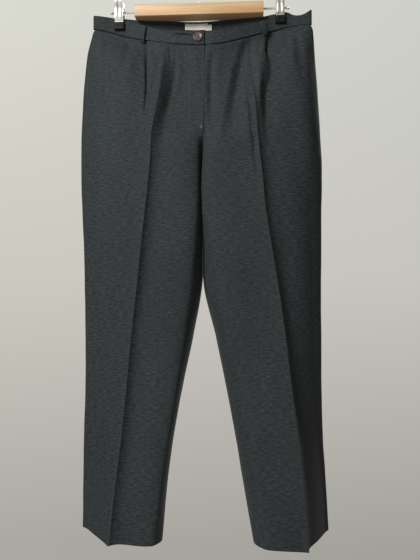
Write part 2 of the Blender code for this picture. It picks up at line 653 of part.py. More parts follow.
def build_belt_loops(fronts, backs):
    right, left = fronts["right"], fronts["left"]
    build_belt_loop("belt_loop_front_right", "right", "front", right, -109 * MM, lean=-4 * MM)
    build_belt_loop("belt_loop_front_left", "left", "front", left, 124 * MM, lean=9 * MM)
    build_belt_loop("belt_loop_back_right", "right", "back", backs["right"], -128 * MM)
    build_belt_loop("belt_loop_back_left", "left", "back", backs["left"], 128 * MM)
    build_belt_loop("belt_loop_centre", "left", "back", backs["left"], 5.5 * MM, lean=-0.5 * MM)


def build_labels():
    """The bare woven label and the small tab beside it, inside the centre of the back band."""
    for name, left, right, low, high, lift in (
        ("label", -30, 16.5, 0.47, 0.87, 0.0), ("size_tab", 11.5, 25, 0.37, 0.76, 1.0),
    ):
        rows = []
        for level in np.linspace(high, low, 3):
            row = []
            for share in np.linspace(0, 1, 6):
                x = (left + (right - left) * share) * MM
                point = band_station("left" if x > 0 else "right", "back", x, level)
                away = BAND_WALL / 2 + SEAM_GAP + 0.4 * MM + lift * MM
                row.append((share, point - np.array([0, away, 0]), np.array([0, -1.0, 0])))
            rows.append(row)
        cloth_wall(name, rows, "label", 0.8 * MM)


def turned(name, profile, finish, segments=24, matrix=None):
    """A solid of revolution about Z through (radius, height) points, from its lowest pole to its top."""
    builder = bmesh.new()
    verts = [builder.verts.new((radius, 0, height)) for radius, height in profile]
    edges = [builder.edges.new(pair) for pair in zip(verts[:-1], verts[1:])]
    bmesh.ops.spin(
        builder, geom=verts + edges, cent=(0, 0, 0), axis=(0, 0, 1), angle=2 * math.pi,
        steps=segments, use_merge=True,
    )
    bmesh.ops.remove_doubles(builder, verts=builder.verts, dist=1e-6)
    bmesh.ops.transform(builder, matrix=matrix or Matrix.Identity(4), verts=builder.verts)
    return add_object(name, builder, finish)


def box(name, low, high, finish, bevel=0.0, hidden=False):
    """A box between two corners, with its edges bevelled."""
    builder = bmesh.new()
    bmesh.ops.create_cube(builder, size=1)
    low, high = np.array(low), np.array(high)
    bmesh.ops.scale(builder, vec=tuple(high - low), verts=builder.verts)
    bmesh.ops.translate(builder, vec=tuple((high + low) / 2), verts=builder.verts)
    made = add_object(name, builder, finish)
    if bevel:
        modifier = made.modifiers.new("Rounded edges", "BEVEL")
        modifier.width, modifier.segments = bevel, 2
    if hidden:
        made.hide_render, made.display_type = True, "WIRE"
    return made


def rod_cutter(name, start, end, radius, segments=16):
    """A hidden cylinder between two points, to cut a bore."""
    start, end = np.array(start, float), np.array(end, float)
    axis = Matrix.Identity(4)
    if abs(end[0] - start[0]) > abs(end[2] - start[2]):
        axis = Matrix.Rotation(math.radians(90), 4, "Y")
    builder = bmesh.new()
    bmesh.ops.create_cone(
        builder, cap_ends=True, segments=segments, radius1=radius, radius2=radius,
        depth=float(np.linalg.norm(end - start)), matrix=Matrix.Translation((start + end) / 2) @ axis,
    )
    made = add_object(name, builder, "steel", smooth=False)
    made.hide_render, made.display_type = True, "WIRE"
    return made


def combine(target, other, operation):
    modifier = target.modifiers.new(other.name, "BOOLEAN")
    modifier.operation, modifier.object = operation, other


def build_button():
    """Four-hole button over the closed band ends."""
    radius = BUTTON_DIAMETER / 2
    centre = band_station("right", "front", 0.0, 0.5)
    slope = band_station("right", "front", 0.0, 1) - band_station("right", "front", 0.0, 0)
    tilt = Matrix.Rotation(math.radians(90) - math.atan2(slope[1], slope[2]), 4, "X")
    lifted = np.array([0, -slope[2], slope[1]]) / np.linalg.norm(slope) * (BAND_WALL / 2 + BUTTON_LIFT)
    seat = Matrix.Translation(centre + lifted) @ tilt
    profile = (
        (0, 0), (radius * 0.8, 0), (radius, 0.9), (radius, 1.9), (radius * 0.93, 2.5),
        (radius * 0.8, 2.6), (radius * 0.7, 1.9), (0, 1.8),
    )
    profile = [(r, h * MM) for r, h in profile]
    button = turned("button", profile, "button", 20, seat)
    for i in range(4):
        angle = math.radians(45 + 90 * i)
        hole_centre = Matrix.Translation((2.1 * MM * math.cos(angle), 2.1 * MM * math.sin(angle), 0))
        builder = bmesh.new()
        bmesh.ops.create_cone(
            builder, cap_ends=True, segments=8, radius1=0.9 * MM, radius2=0.9 * MM, depth=10 * MM,
            matrix=seat @ hole_centre,
        )
        hole = add_object(f"button_hole_{i}", builder, "button", smooth=False)
        hole.hide_render, hole.display_type = True, "WIRE"
        combine(button, hole, "DIFFERENCE")


def build_bar():
    """The wooden bar with its three blind bores for the hook and the rods."""
    half = BAR_LENGTH / 2
    bar = box(
        "hanger_bar", (-half, -BAR_DEPTH / 2, -BAR_TOP_DROP - BAR_HEIGHT),
        (half, BAR_DEPTH / 2, -BAR_TOP_DROP), "wood", bevel=2 * MM,
    )
    clear = 0.3 * MM
    bores = [
        rod_cutter("bore_hook", (0, 0, -BAR_TOP_DROP - 14 * MM), (0, 0, -BAR_TOP_DROP + 5 * MM),
                   HOOK_WIRE_RADIUS + clear)
    ]
    for side, sign in SIDES.items():
        bores.append(rod_cutter(
            f"bore_{side}", (sign * (half - ROD_SEAT), 0, -ROD_DROP),
            (sign * (half + 5 * MM), 0, -ROD_DROP), ROD_RADIUS + clear,
        ))
    for bore in bores:
        combine(bar, bore, "DIFFERENCE")


def build_rods():
    """A steel rod with a round end knob out of each end of the bar."""
    start, end = BAR_LENGTH / 2 - ROD_SEAT + 0.3 * MM, CLIP_X + CLIP_WIDTH / 2 + 2.2 * MM
    knob = 3.2 * MM
    profile = [(0, start), (ROD_RADIUS, start), (ROD_RADIUS, end)]
    profile += [
        (knob * math.sin(math.radians(angle)), end + knob - knob * math.cos(math.radians(angle)))
        for angle in (40, 65, 90, 120, 150)
    ]
    profile += [(0, end + 2 * knob)]
    for side, sign in SIDES.items():
        matrix = Matrix.Translation((0, 0, -ROD_DROP)) @ Matrix.Rotation(math.radians(sign * 90), 4, "Y")
        turned(f"hanger_rod_{side}", profile, "steel", 16, matrix)


def build_hook():
    """Steel wire hook: a straight neck out of the bar, a bend, and a round crown over the hang point."""
    radius = HOOK_INNER_RADIUS + HOOK_WIRE_RADIUS
    points = [(0, -BAR_TOP_DROP - 13.5 * MM), (0, -60 * MM)]
    points += [(x * MM, -drop * MM) for x, drop in HOOK_NECK]
    for angle in range(-56, 211, 11):
        turn = math.radians(angle)
        points.append((radius * math.cos(turn), -HOOK_INNER_RADIUS + radius * math.sin(turn)))
    curve = bpy.data.curves.new("hanger_hook", "CURVE")
    curve.dimensions, curve.use_fill_caps = "3D", True
    curve.bevel_depth, curve.bevel_resolution = HOOK_WIRE_RADIUS, 2
    spline = curve.splines.new("POLY")
    spline.points.add(len(points) - 1)
    for point, (x, z) in zip(spline.points, points):
        point.co = (x, 0, z, 1)
    made = bpy.data.objects.new("hanger_hook", curve)
    bpy.context.scene.collection.objects.link(made)
    curve.materials.append(material("steel"))


def jaw_plate(name, facing, x, profile, half_width):
    """The bent plate of a clip's jaw, from its foot in the pad to its thumb end."""
    builder = bmesh.new()
    loops = []
    for i, (y, z) in enumerate(profile):
        before, after = profile[max(i - 1, 0)], profile[min(i + 1, len(profile) - 1)]
        along = unit(np.array([after[0] - before[0], after[1] - before[1]]))
        across = np.array([along[1], -along[0]]) * JAW_WALL / 2
        taper = half_width * (0.82 if i == len(profile) - 1 else 1)
        corners = ((-taper, 1), (taper, 1), (taper, -1), (-taper, -1))
        loops.append([
            builder.verts.new((x + width, facing * (y + k * across[0]), z + k * across[1]))
            for width, k in corners
        ])
    for low, high in zip(loops[:-1], loops[1:]):
        for i in range(4):
            builder.faces.new((low[i], low[(i + 1) % 4], high[(i + 1) % 4], high[i]))
    builder.faces.new(loops[0])
    builder.faces.new(loops[-1])
    return add_object(name, builder, "steel", smooth=False)


def build_clip(side):
    """One spring clip on its rod: two jaws with ears round the rod, rubber pads, and the coil spring."""
    x = SIDES[side] * CLIP_X
    pad_low = -ROD_DROP - CLIP_DROPS[side]
    pad_top = pad_low + PAD_HEIGHT
    foot_y = PAD_FACE_Y + PAD_DEPTH / 2
    half = CLIP_WIDTH / 2
    profile = [(foot_y, pad_top - PAD_GRIP), (foot_y, pad_top + 3 * MM)]
    profile += [(reach * MM, (rise * MM) - ROD_DROP) for reach, rise in JAW_PROFILE]
    bore = rod_cutter(
        f"bore_clip_{side}", (x - half * 2, 0, -ROD_DROP), (x + half * 2, 0, -ROD_DROP),
        ROD_RADIUS + JAW_CLEAR,
    )
    for face, facing, ear_inset in (("front", -1, 0.0), ("back", 1, 1.4 * MM)):
        jaw = jaw_plate(f"clip_{side}_{face}_jaw", facing, x, profile, half - 0.6 * MM)
        ends = sorted((facing * (JAW_PROFILE[0][0] * MM + 0.1 * MM), -facing * EAR_REACH))
        for k in (-1, 1):
            centre = x + k * (half - 1.5 * MM - ear_inset)
            ear = box(
                f"ear_{side}_{face}_{k}", (centre - JAW_WALL / 2, ends[0], -ROD_DROP - EAR_HALF_HEIGHT),
                (centre + JAW_WALL / 2, ends[1], -ROD_DROP + EAR_HALF_HEIGHT), "steel", hidden=True,
            )
            combine(jaw, ear, "UNION")
        combine(jaw, bore, "DIFFERENCE")
        near, far = facing * PAD_FACE_Y, facing * (PAD_FACE_Y + PAD_DEPTH)
        pad = box(
            f"clip_{side}_{face}_pad", (x - half, min(near, far), pad_low),
            (x + half, max(near, far), pad_top), "rubber", bevel=0.9 * MM,
        )
        slot = JAW_WALL / 2 + 0.3 * MM
        slot_low = pad_top - PAD_GRIP - 0.3 * MM
        cutter = box(
            f"slot_{side}_{face}", (x - half + 0.3 * MM, facing * foot_y - slot, slot_low),
            (x + half - 0.3 * MM, facing * foot_y + slot, pad_top + 5 * MM), "rubber", hidden=True,
        )
        combine(pad, cutter, "DIFFERENCE")
    build_spring(f"clip_{side}_spring", x)


def build_spring(name, x):
    """Coil spring round the rod between the ears."""
    wire, turns, steps = 0.6 * MM, 5, 9
    radius, reach = ROD_RADIUS + 0.3 * MM + wire, 10 * MM
    curve = bpy.data.curves.new(name, "CURVE")
    curve.dimensions, curve.use_fill_caps = "3D", True
    curve.bevel_depth, curve.bevel_resolution = wire, 0
    spline = curve.splines.new("POLY")
    count = turns * steps + 1
    spline.points.add(count - 1)
    for i, point in enumerate(spline.points):
        angle = 2 * math.pi * i / steps
        along = x - reach / 2 + reach * i / (count - 1)
        point.co = (along, radius * math.cos(angle), -ROD_DROP + radius * math.sin(angle), 1)
    made = bpy.data.objects.new(name, curve)
    bpy.context.scene.collection.objects.link(made)
    curve.materials.append(material("steel"))


def main():
    for old in list(bpy.data.objects):
        bpy.data.objects.remove(old)
    fronts = {side: FrontPanel(side) for side in SIDES}
    backs = {side: BackPanel(side) for side in SIDES}
    build_panels(fronts, backs)
    build_waistband()
    build_fly(fronts)
    build_pocket_facings(fronts)
    build_belt_loops(fronts, backs)
    build_labels()
    build_button()
    build_bar()
    build_rods()
    build_hook()
    for side in SIDES:
        build_clip(side)


main()
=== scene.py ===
"""Pleated dress trousers hanging from a wooden clip hanger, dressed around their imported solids.

Metres, +Z up. The origin is the hang point under the crown of the hook. The front of the trousers
faces -Y. Right and left are the wearer's, so the right leg lies at -X.
"""

import logging
import math
from collections.abc import Callable, Iterator, Sequence
from contextlib import contextmanager
from dataclasses import dataclass, field
from enum import Enum

import bmesh
import bpy
import numpy as np
from mathutils import Matrix, Vector


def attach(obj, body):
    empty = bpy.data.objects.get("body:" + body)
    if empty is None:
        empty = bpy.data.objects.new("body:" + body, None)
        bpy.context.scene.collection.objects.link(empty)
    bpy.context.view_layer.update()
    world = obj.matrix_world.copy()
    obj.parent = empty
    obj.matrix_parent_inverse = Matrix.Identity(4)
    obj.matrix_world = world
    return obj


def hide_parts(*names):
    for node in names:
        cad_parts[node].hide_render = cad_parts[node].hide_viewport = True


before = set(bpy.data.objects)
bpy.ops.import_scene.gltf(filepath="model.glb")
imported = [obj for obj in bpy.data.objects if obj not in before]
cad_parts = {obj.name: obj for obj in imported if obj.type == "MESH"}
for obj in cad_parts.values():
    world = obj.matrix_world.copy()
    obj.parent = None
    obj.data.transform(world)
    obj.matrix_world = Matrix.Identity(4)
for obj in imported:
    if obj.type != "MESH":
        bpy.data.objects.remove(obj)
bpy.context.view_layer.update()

LOG = logging.getLogger("trousers")
MM = 0.001
SEAM_GAP = 0.3 * MM
SOLID_WALL = 1.0 * MM
WEAVE_MAP = "weave"

Values = float | np.ndarray
Colour = tuple[float, float, float]


class Named(Enum):
    """A choice whose names the nodes spell in small letters."""

    @property
    def word(self) -> str:
        """The name as the nodes spell it."""
        return self.name.lower()


class Side(Named):
    """The wearer's sides, with the sign of X on which each lies."""

    RIGHT = -1
    LEFT = 1


class Face(Named):
    """The front and the back of the trousers, with the sign of Y that each one faces."""

    FRONT = -1
    BACK = 1


WAIST_COLUMNS = ("x", "seam", "top")
WAIST = {
    Face.FRONT: (
        (-218, 114, 86.5), (-183, 121, 91), (-163, 127, 95), (-119, 140.5, 110.5), (-77, 152, 126),
        (-26, 161.5, 134), (12, 163, 133.5), (48, 159, 133), (89, 146.5, 125), (129, 133, 108.5),
        (159, 124.5, 94), (175, 121, 90), (192, 119, 97), (208, 117.5, 96.5), (226, 116.5, 86.5),
    ),
    Face.BACK: (
        (-218, 114, 86.5), (-163, 122, 92.5), (-131, 124, 95), (-70, 126.5, 95.5), (0, 131, 97.5),
        (70, 126, 95.4), (131, 124, 95), (163, 121, 91.5), (192, 119, 96.5), (208, 117.5, 96),
        (226, 116.5, 86.5),
    ),
}

# One row for each section, in millimetres; down is in thousandths of the way to the hem.
SECTION_COLUMNS = (
    "down", "side_x", "side_y", "side_round", "crease_x", "crease_y", "turn_x", "turn_y", "seam_x",
    "seam_y", "centre_y", "back_centre_y", "back_turn_x", "back_turn_y", "back_crease_x", "back_crease_y",
)
SECTIONS = {
    Side.RIGHT: (
        (0, -216.8, 0, 4, -66, -22, -3, -32.3, 12.5, -8.5, -32.6, 14.6, -3, 14.4, -105, 9),
        (50, -230.5, 3, 13, -65.5, -37, -1, -38, 13.5, -8.5, -38, 21, -1, 21, -107, 19),
        (100, -237, 5, 22, -71, -46, 0, -42, 13.5, -8.5, -42, 25.5, 0, 26, -109, 27),
        (170, -242, 6, 28, -84.5, -52, 0, -44, 12.4, -8.5, -43.5, 27.5, -3, 28.5, -112, 31),
        (200, -243.8, 6, 29, -89, -53, 2, -44.5, 11.4, -8.5, -44, 27.5, -4, 28.5, -112.5, 32),
        (250, -244.3, 6, 30, -91.5, -54, 2.5, -45.5, 7.5, -8.5, -44.5, 27.5, -3, 28, -114, 33),
        (290, -244, 6, 30, -95, -54, 2.4, -46, 6.05, -8.5, -45, 27.5, 5, 27, -114.5, 34),
        (350, -242, 6, 30, -101.5, -53, 1.5, -46, 6.05, -5, -45, 27.5, 7.5, 25, -115.5, 35),
        (430, -238.6, 6, 28, -111, -50.5, -4, -46, 5.8, -2, -45, 27.5, 7.5, 23, -116.5, 36),
        (500, -236.7, 5.5, 27, -118.5, -47.5, -11, -44, 4.9, 1, -45, 27.5, 4, 22, -117.5, 37),
        (600, -235.4, 5, 24, -130.5, -44, -24, -40, -11, -3, -45, 27.5, -20, 17, -120, 38),
        (710, -235.3, 5, 20, -140.5, -46, -41, -40, -33.5, -10, -45, 27.5, -43, 9, -123, 38),
        (810, -238, 5, 17, -149.5, -54, -56.5, -47, -50.5, -18, -45, 27.5, -60, 0, -126, 38),
        (910, -239.8, 5, 14, -160, -66, -70.5, -60, -62.5, -32, -45, 27.5, -72, -12, -128, 38),
        (1000, -241, 5, 12, -167.3, -76, -81.5, -72.5, -69, -47, -45, 27.5, -79, -26, -129, 38),
    ),
    Side.LEFT: (
        (0, 225.6, 0, 4, 109, -13, 30, -31, 7, -8.5, -30.8, 14.6, 16, 14.4, 110, 9),
        (50, 230, 3, 12, 107, -31, 30, -37, 8, -8.5, -36.1, 21, 15, 21, 111, 18),
        (100, 234.8, 5, 21, 108.5, -43, 30, -41, 8, -8.5, -40.1, 25.5, 14, 26, 112, 27),
        (170, 240.3, 7, 27, 113.5, -52, 29, -43.6, 7, -8.5, -41.4, 27.5, 16, 28.5, 114, 31),
        (188, 241.6, 7.3, 28, 115, -53.5, 24, -43.9, 9, -8.5, -41.7, 27.5, 16, 28.5, 114.6, 31.7),
        (203, 242.4, 7.6, 28, 116.3, -54, 21, -44.4, 12.1, -8.5, -42.1, 27.5, 16, 28.5, 115.1, 32.1),
        (227, 244.0, 8.1, 28, 118.7, -54.8, 16, -45.1, 11.2, -8.5, -44.3, 27.5, 16, 28.5, 116, 32.8),
        (250, 245.4, 8.5, 29, 121, -55.5, 12.5, -45.5, 9.0, -8.5, -44.5, 27.5, 15, 28, 117, 33.5),
        (290, 246.1, 9, 30, 125.5, -56, 10.5, -46, 7.35, -8.5, -45, 27.5, 15, 27, 118, 34),
        (350, 246.6, 10, 30, 131, -56.5, 12.3, -46, 7.35, -5, -45, 27.5, 17, 25, 120, 35),
        (430, 246.5, 11, 28, 143.5, -56.5, 24, -46, 7.7, -2, -45, 27.5, 19, 23, 123, 37),
        (500, 246, 12, 27, 155, -56.5, 34.5, -45, 9.2, 1, -45, 27.5, 22, 22, 126, 39),
        (600, 246.6, 14, 24, 169, -58.5, 51.5, -45, 33, -4, -45, 27.5, 40, 17, 131, 42),
        (710, 247.3, 16, 20, 182, -62, 76, -47, 56, -10, -45, 27.5, 66, 8, 138, 45),
        (810, 250.5, 18.5, 17, 195.5, -67.5, 97, -55, 75.5, -17, -45, 27.5, 86, 0, 143, 47),
        (910, 257, 21, 14, 204.5, -75, 115.5, -66, 93.5, -31, -45, 27.5, 103, -12, 147, 49),
        (1000, 262.5, 22, 12, 210.5, -80, 131, -74, 110.5, -47, -45, 27.5, 119, -24, 150, 50),
    ),
}

# The knife pleat of each front: its fold line's distance from the crease, toward the side seam
PLEAT_COLUMNS = ("down", "offset", "height")
PLEATS = {
    Side.RIGHT: (
        (0, -37, 3), (23, -35, 5), (51, -32.5, 7), (71, -29, 8), (90, -25, 8.5), (120, -19, 7.5),
        (150, -15, 4.5), (190, -11.5, 2), (230, -10, 0.8), (280, -14, 0), (1000, -22, 0),
    ),
    Side.LEFT: (
        (0, -24, 2.8), (20, -24, 4), (43, -25, 6), (62, -30, 6.5), (82, -29, 7), (101, -26, 7),
        (130, -15.5, 6), (160, -12, 4.5), (190, -9, 2), (240, -10, 0), (1000, -22, 0),
    ),
}

# Soft troughs of a front panel, from the crease toward the centre (+) or the side seam (-):
# offset at the top end and at the low end, top, low, depth and half width
TROUGHS = {
    Side.RIGHT: (
        (-124, -98, 8, 240, 4.0, 10), (9, 11, -6, 45, 2.2, 2.6),
    ),
    Side.LEFT: (
        (-88, -98, 5, 130, 4.0, 9), (13, 7.5, 20, 300, 5.5, 3.2), (78, 84, 20, 140, 1.6, 3),
    ),
}

# Where the cloth of a front falls away from a line toward +X and comes back slowly:
# offset at the top end and at the low end, top, low, depth, width and way back
FALLS = {
    Side.RIGHT: ((0, 1, 30, 235, 6, 22, 40), (-5, -3, -5, 135, 3.5, 8, 10), (-55, -22, -25, 175, 7, 5.5, 7)),
    Side.LEFT: (
        (20, 80, -25, 225, 10, 20, 30), (12, 5, -5, 150, 4, 8, 6), (-24, -2, -20, 190, 5, 12, 45),
        (89, 95, 10, 190, 3, 7, 10),
    ),
}

# The pressed crease of a front: its height, and how far and how fast it falls away toward +X
CREASE_COLUMNS = ("down", "height", "depth", "width")
CREASES = {
    Side.RIGHT: (
        (0, 0.4, 0.5, 10), (60, 1, 1.5, 9), (140, 1.5, 3, 10), (240, 2, 8, 9), (375, 2.5, 9, 10),
        (630, 3, 11, 12), (820, 3.5, 13, 14), (1000, 3.5, 13, 15),
    ),
    Side.LEFT: (
        (0, 0.4, 0, 8), (60, 0.8, 0, 8), (120, 1.5, 2, 8), (150, 2.5, 6, 9), (240, 2.5, 7, 9),
        (450, 3, 9, 12), (630, 3, 9, 12), (820, 2.5, 8, 12), (1000, 2.5, 8, 12),
    ),
}

# More soft folds of each panel, ridges above 0 and troughs below it, placed as the troughs are
WRINKLES = {
    (Side.RIGHT, Face.FRONT): (
        (-62, -70, 6, 120, 1.2, 6), (28, 31, 2, 130, 1.6, 5), (60, 66, 4, 90, 1.0, 5),
        (-100, -86, 60, 260, -1.0, 14), (30, 8, 330, 640, -1.0, 16), (-40, -60, 420, 800, -1.1, 20),
    ),
    (Side.LEFT, Face.FRONT): (
        (-98, -110, -60, 340, 9.0, 28), (66, 70, 4, 110, 1.2, 6), (-60, -86, 120, 330, -1.0, 14),
        (-34, -10, 360, 660, -1.0, 16), (44, 66, 420, 780, -1.2, 18),
    ),
    (Side.RIGHT, Face.BACK): (
        (-58, -64, 0, 110, -2.2, 2.4), (52, 66, 30, 230, -5.0, 14), (-84, -50, 240, 620, -5.0, 20),
        (10, 52, 170, 330, -4.5, 13), (-30, 40, 215, 345, 3.5, 12), (38, 20, 400, 800, -4.0, 14),
        (-60, -90, 560, 960, 4.0, 16),
    ),
    (Side.LEFT, Face.BACK): (
        (-58, -64, 0, 110, -2.2, 2.4), (46, 60, 35, 220, -5.0, 15), (-74, -56, 260, 600, -4.5, 19),
        (14, 50, 160, 320, -4.5, 13), (-26, 44, 205, 335, 3.5, 12), (30, 12, 430, 820, -4.0, 15),
        (-52, -84, 580, 970, 4.0, 17),
    ),
}


SIDE_FOLD_X = {Side.RIGHT: 213.0 * MM, Side.LEFT: 221.8 * MM}
HEM_DROP = 1137 * MM
LEVEL_DROP = 135 * MM
BAND_WALL = 2.4 * MM
FRONT_END_X = 12.5 * MM
ROD_DROP = 81 * MM


def ease(share: Values) -> Values:
    """Rises smoothly from 0 to 1."""
    share = np.clip(share, 0.0, 1.0)
    return share * share * (3 - 2 * share)


def ramp(place: Values, start: float, end: float) -> Values:
    """Rises smoothly from 0 to 1 between two places."""
    return ease((place - start) / (end - start))


def unit(vector: np.ndarray) -> np.ndarray:
    """Scales vectors along the last axis to length one."""
    return vector / np.maximum(np.linalg.norm(vector, axis=-1, keepdims=True), 1e-9)


def cubic(t: Values, ends: Sequence[Values], slopes: Sequence[Values]) -> Values:
    """Runs smoothly from one end to the other with the slopes given at both.

    Args:
        t: How far along, from 0 to 1.
        ends: The two values or points.
        slopes: How it leaves the first and arrives at the second.

    Returns:
        The value or point there.
    """
    return (
        (2 * t**3 - 3 * t**2 + 1) * ends[0] + (t**3 - 2 * t**2 + t) * slopes[0]
        + (3 * t**2 - 2 * t**3) * ends[1] + (t**3 - t**2) * slopes[1]
    )


def smooth(places: np.ndarray, values: np.ndarray, at: Values) -> Values:
    """Reads values smoothly between the places where they are known.

    Args:
        places: The places, in rising order.
        values: What is known at each of them.
        at: Where to read.

    Returns:
        The values there.
    """
    flat = (1,) * (values.ndim - 1)
    gaps = np.diff(places).reshape(-1, *flat)
    slopes = np.diff(values, axis=0) / gaps
    tangents = np.concatenate([slopes[:1], np.empty_like(slopes[1:]), slopes[-1:]])
    tangents[1:-1] = (slopes[:-1] * gaps[1:] + slopes[1:] * gaps[:-1]) / (gaps[1:] + gaps[:-1])
    at = np.clip(at, places[0], places[-1])
    i = np.clip(np.searchsorted(places, at, side="right") - 1, 0, len(gaps) - 1)
    t = np.reshape((at - places[i]) / (places[i + 1] - places[i]), np.shape(at) + flat)
    return cubic(t, (values[i], values[i + 1]), (gaps[i] * tangents[i], gaps[i] * tangents[i + 1]))


def smooth_rows(rows: np.ndarray, count: int) -> np.ndarray:
    """Lays evenly spaced smooth rows through a few measured ones."""
    return smooth(np.arange(len(rows)), rows, np.linspace(0, len(rows) - 1, count))


def run_along(points: np.ndarray, axis: int = 0) -> np.ndarray:
    """Measures the run along lines of points, from 0 at their first ones."""
    steps = np.cumsum(np.linalg.norm(np.diff(points, axis=axis), axis=-1), axis=axis)
    return np.concatenate([np.zeros_like(np.take(steps, [0], axis=axis)), steps], axis=axis)


def read_line(at: Values, runs: np.ndarray, line: np.ndarray) -> np.ndarray:
    """Reads every coordinate of a line of points at given runs."""
    return np.stack([np.interp(at, runs, line[:, k]) for k in range(line.shape[1])], -1)


def sideways(along: np.ndarray) -> np.ndarray:
    """Turns plan directions a quarter turn to their right."""
    return np.stack([along[:, 1], -along[:, 0]], -1)


def rounded(rim: np.ndarray, radius: float, least: float) -> np.ndarray:
    """Tells what share of a wall is left near its rounded edge."""
    return np.sqrt(np.clip(1 - (1 - np.clip(rim / radius, 0, 1)) ** 2, least, 1))


@dataclass(frozen=True)
class Table:
    """Rows of numbers with named columns, read smoothly along the first one."""

    columns: tuple[str, ...]
    rows: tuple[tuple[float, ...], ...]

    def at(self, name: str, place: Values) -> Values:
        """Reads the named column at a place of the first one."""
        table = np.array(self.rows, float)
        return smooth(table[:, 0], table[:, self.columns.index(name)], place)


WAIST_TABLES = {face: Table(WAIST_COLUMNS, rows) for face, rows in WAIST.items()}
SECTION_TABLES = {side: Table(SECTION_COLUMNS, rows) for side, rows in SECTIONS.items()}
PLEAT_TABLES = {side: Table(PLEAT_COLUMNS, rows) for side, rows in PLEATS.items()}
CREASE_TABLES = {side: Table(CREASE_COLUMNS, rows) for side, rows in CREASES.items()}


def waist_drop(face: Face, level: str, x: Values) -> Values:
    """Tells how far the band's edge hangs under the hang point."""
    return WAIST_TABLES[face].at(level, x / MM) * MM


def band_depth(side: Side, x: Values, sag: Values) -> Values:
    """Tells the plan depth of the band's middle surface.

    Args:
        side: Which half of the band.
        x: Where across it, in metres.
        sag: How far the band stands off at the centre, in metres.

    Returns:
        The unsigned depth in metres, 0 at the side fold.
    """
    shape, reach, fold = BandPlan(), np.abs(x), SIDE_FOLD_X[side]
    flare = ramp(reach, shape.pinch_outer, fold)
    depth = shape.pinch_depth + (shape.side_radius - shape.pinch_depth) * flare
    belly = np.clip(1 - (reach / shape.pinch_inner) ** 2, 0, None) ** 1.3
    depth = np.where(reach < shape.pinch_inner, shape.pinch_depth + sag * belly, depth)
    bend = np.sqrt(np.clip(shape.side_radius**2 - (reach - fold) ** 2, 0, None))
    return np.where(reach > fold, bend, depth)


@dataclass(frozen=True)
class BandPlan:
    """Sizes of the closed band as it hangs between the two clips."""

    pinch_depth: float = 1.6 * MM
    side_radius: float = 3.8 * MM
    pinch_inner: float = 150 * MM
    pinch_outer: float = 176 * MM
    sag_seam: float = 31 * MM
    sag_top: float = 27 * MM
    sag_back: float = 13 * MM


def corner_way(before: np.ndarray, here: np.ndarray, after: np.ndarray) -> np.ndarray:
    """Finds the direction of a smooth line at a corner."""
    back, ahead = here - before, after - here
    return unit(unit(back) * np.linalg.norm(ahead) + unit(ahead) * np.linalg.norm(back))


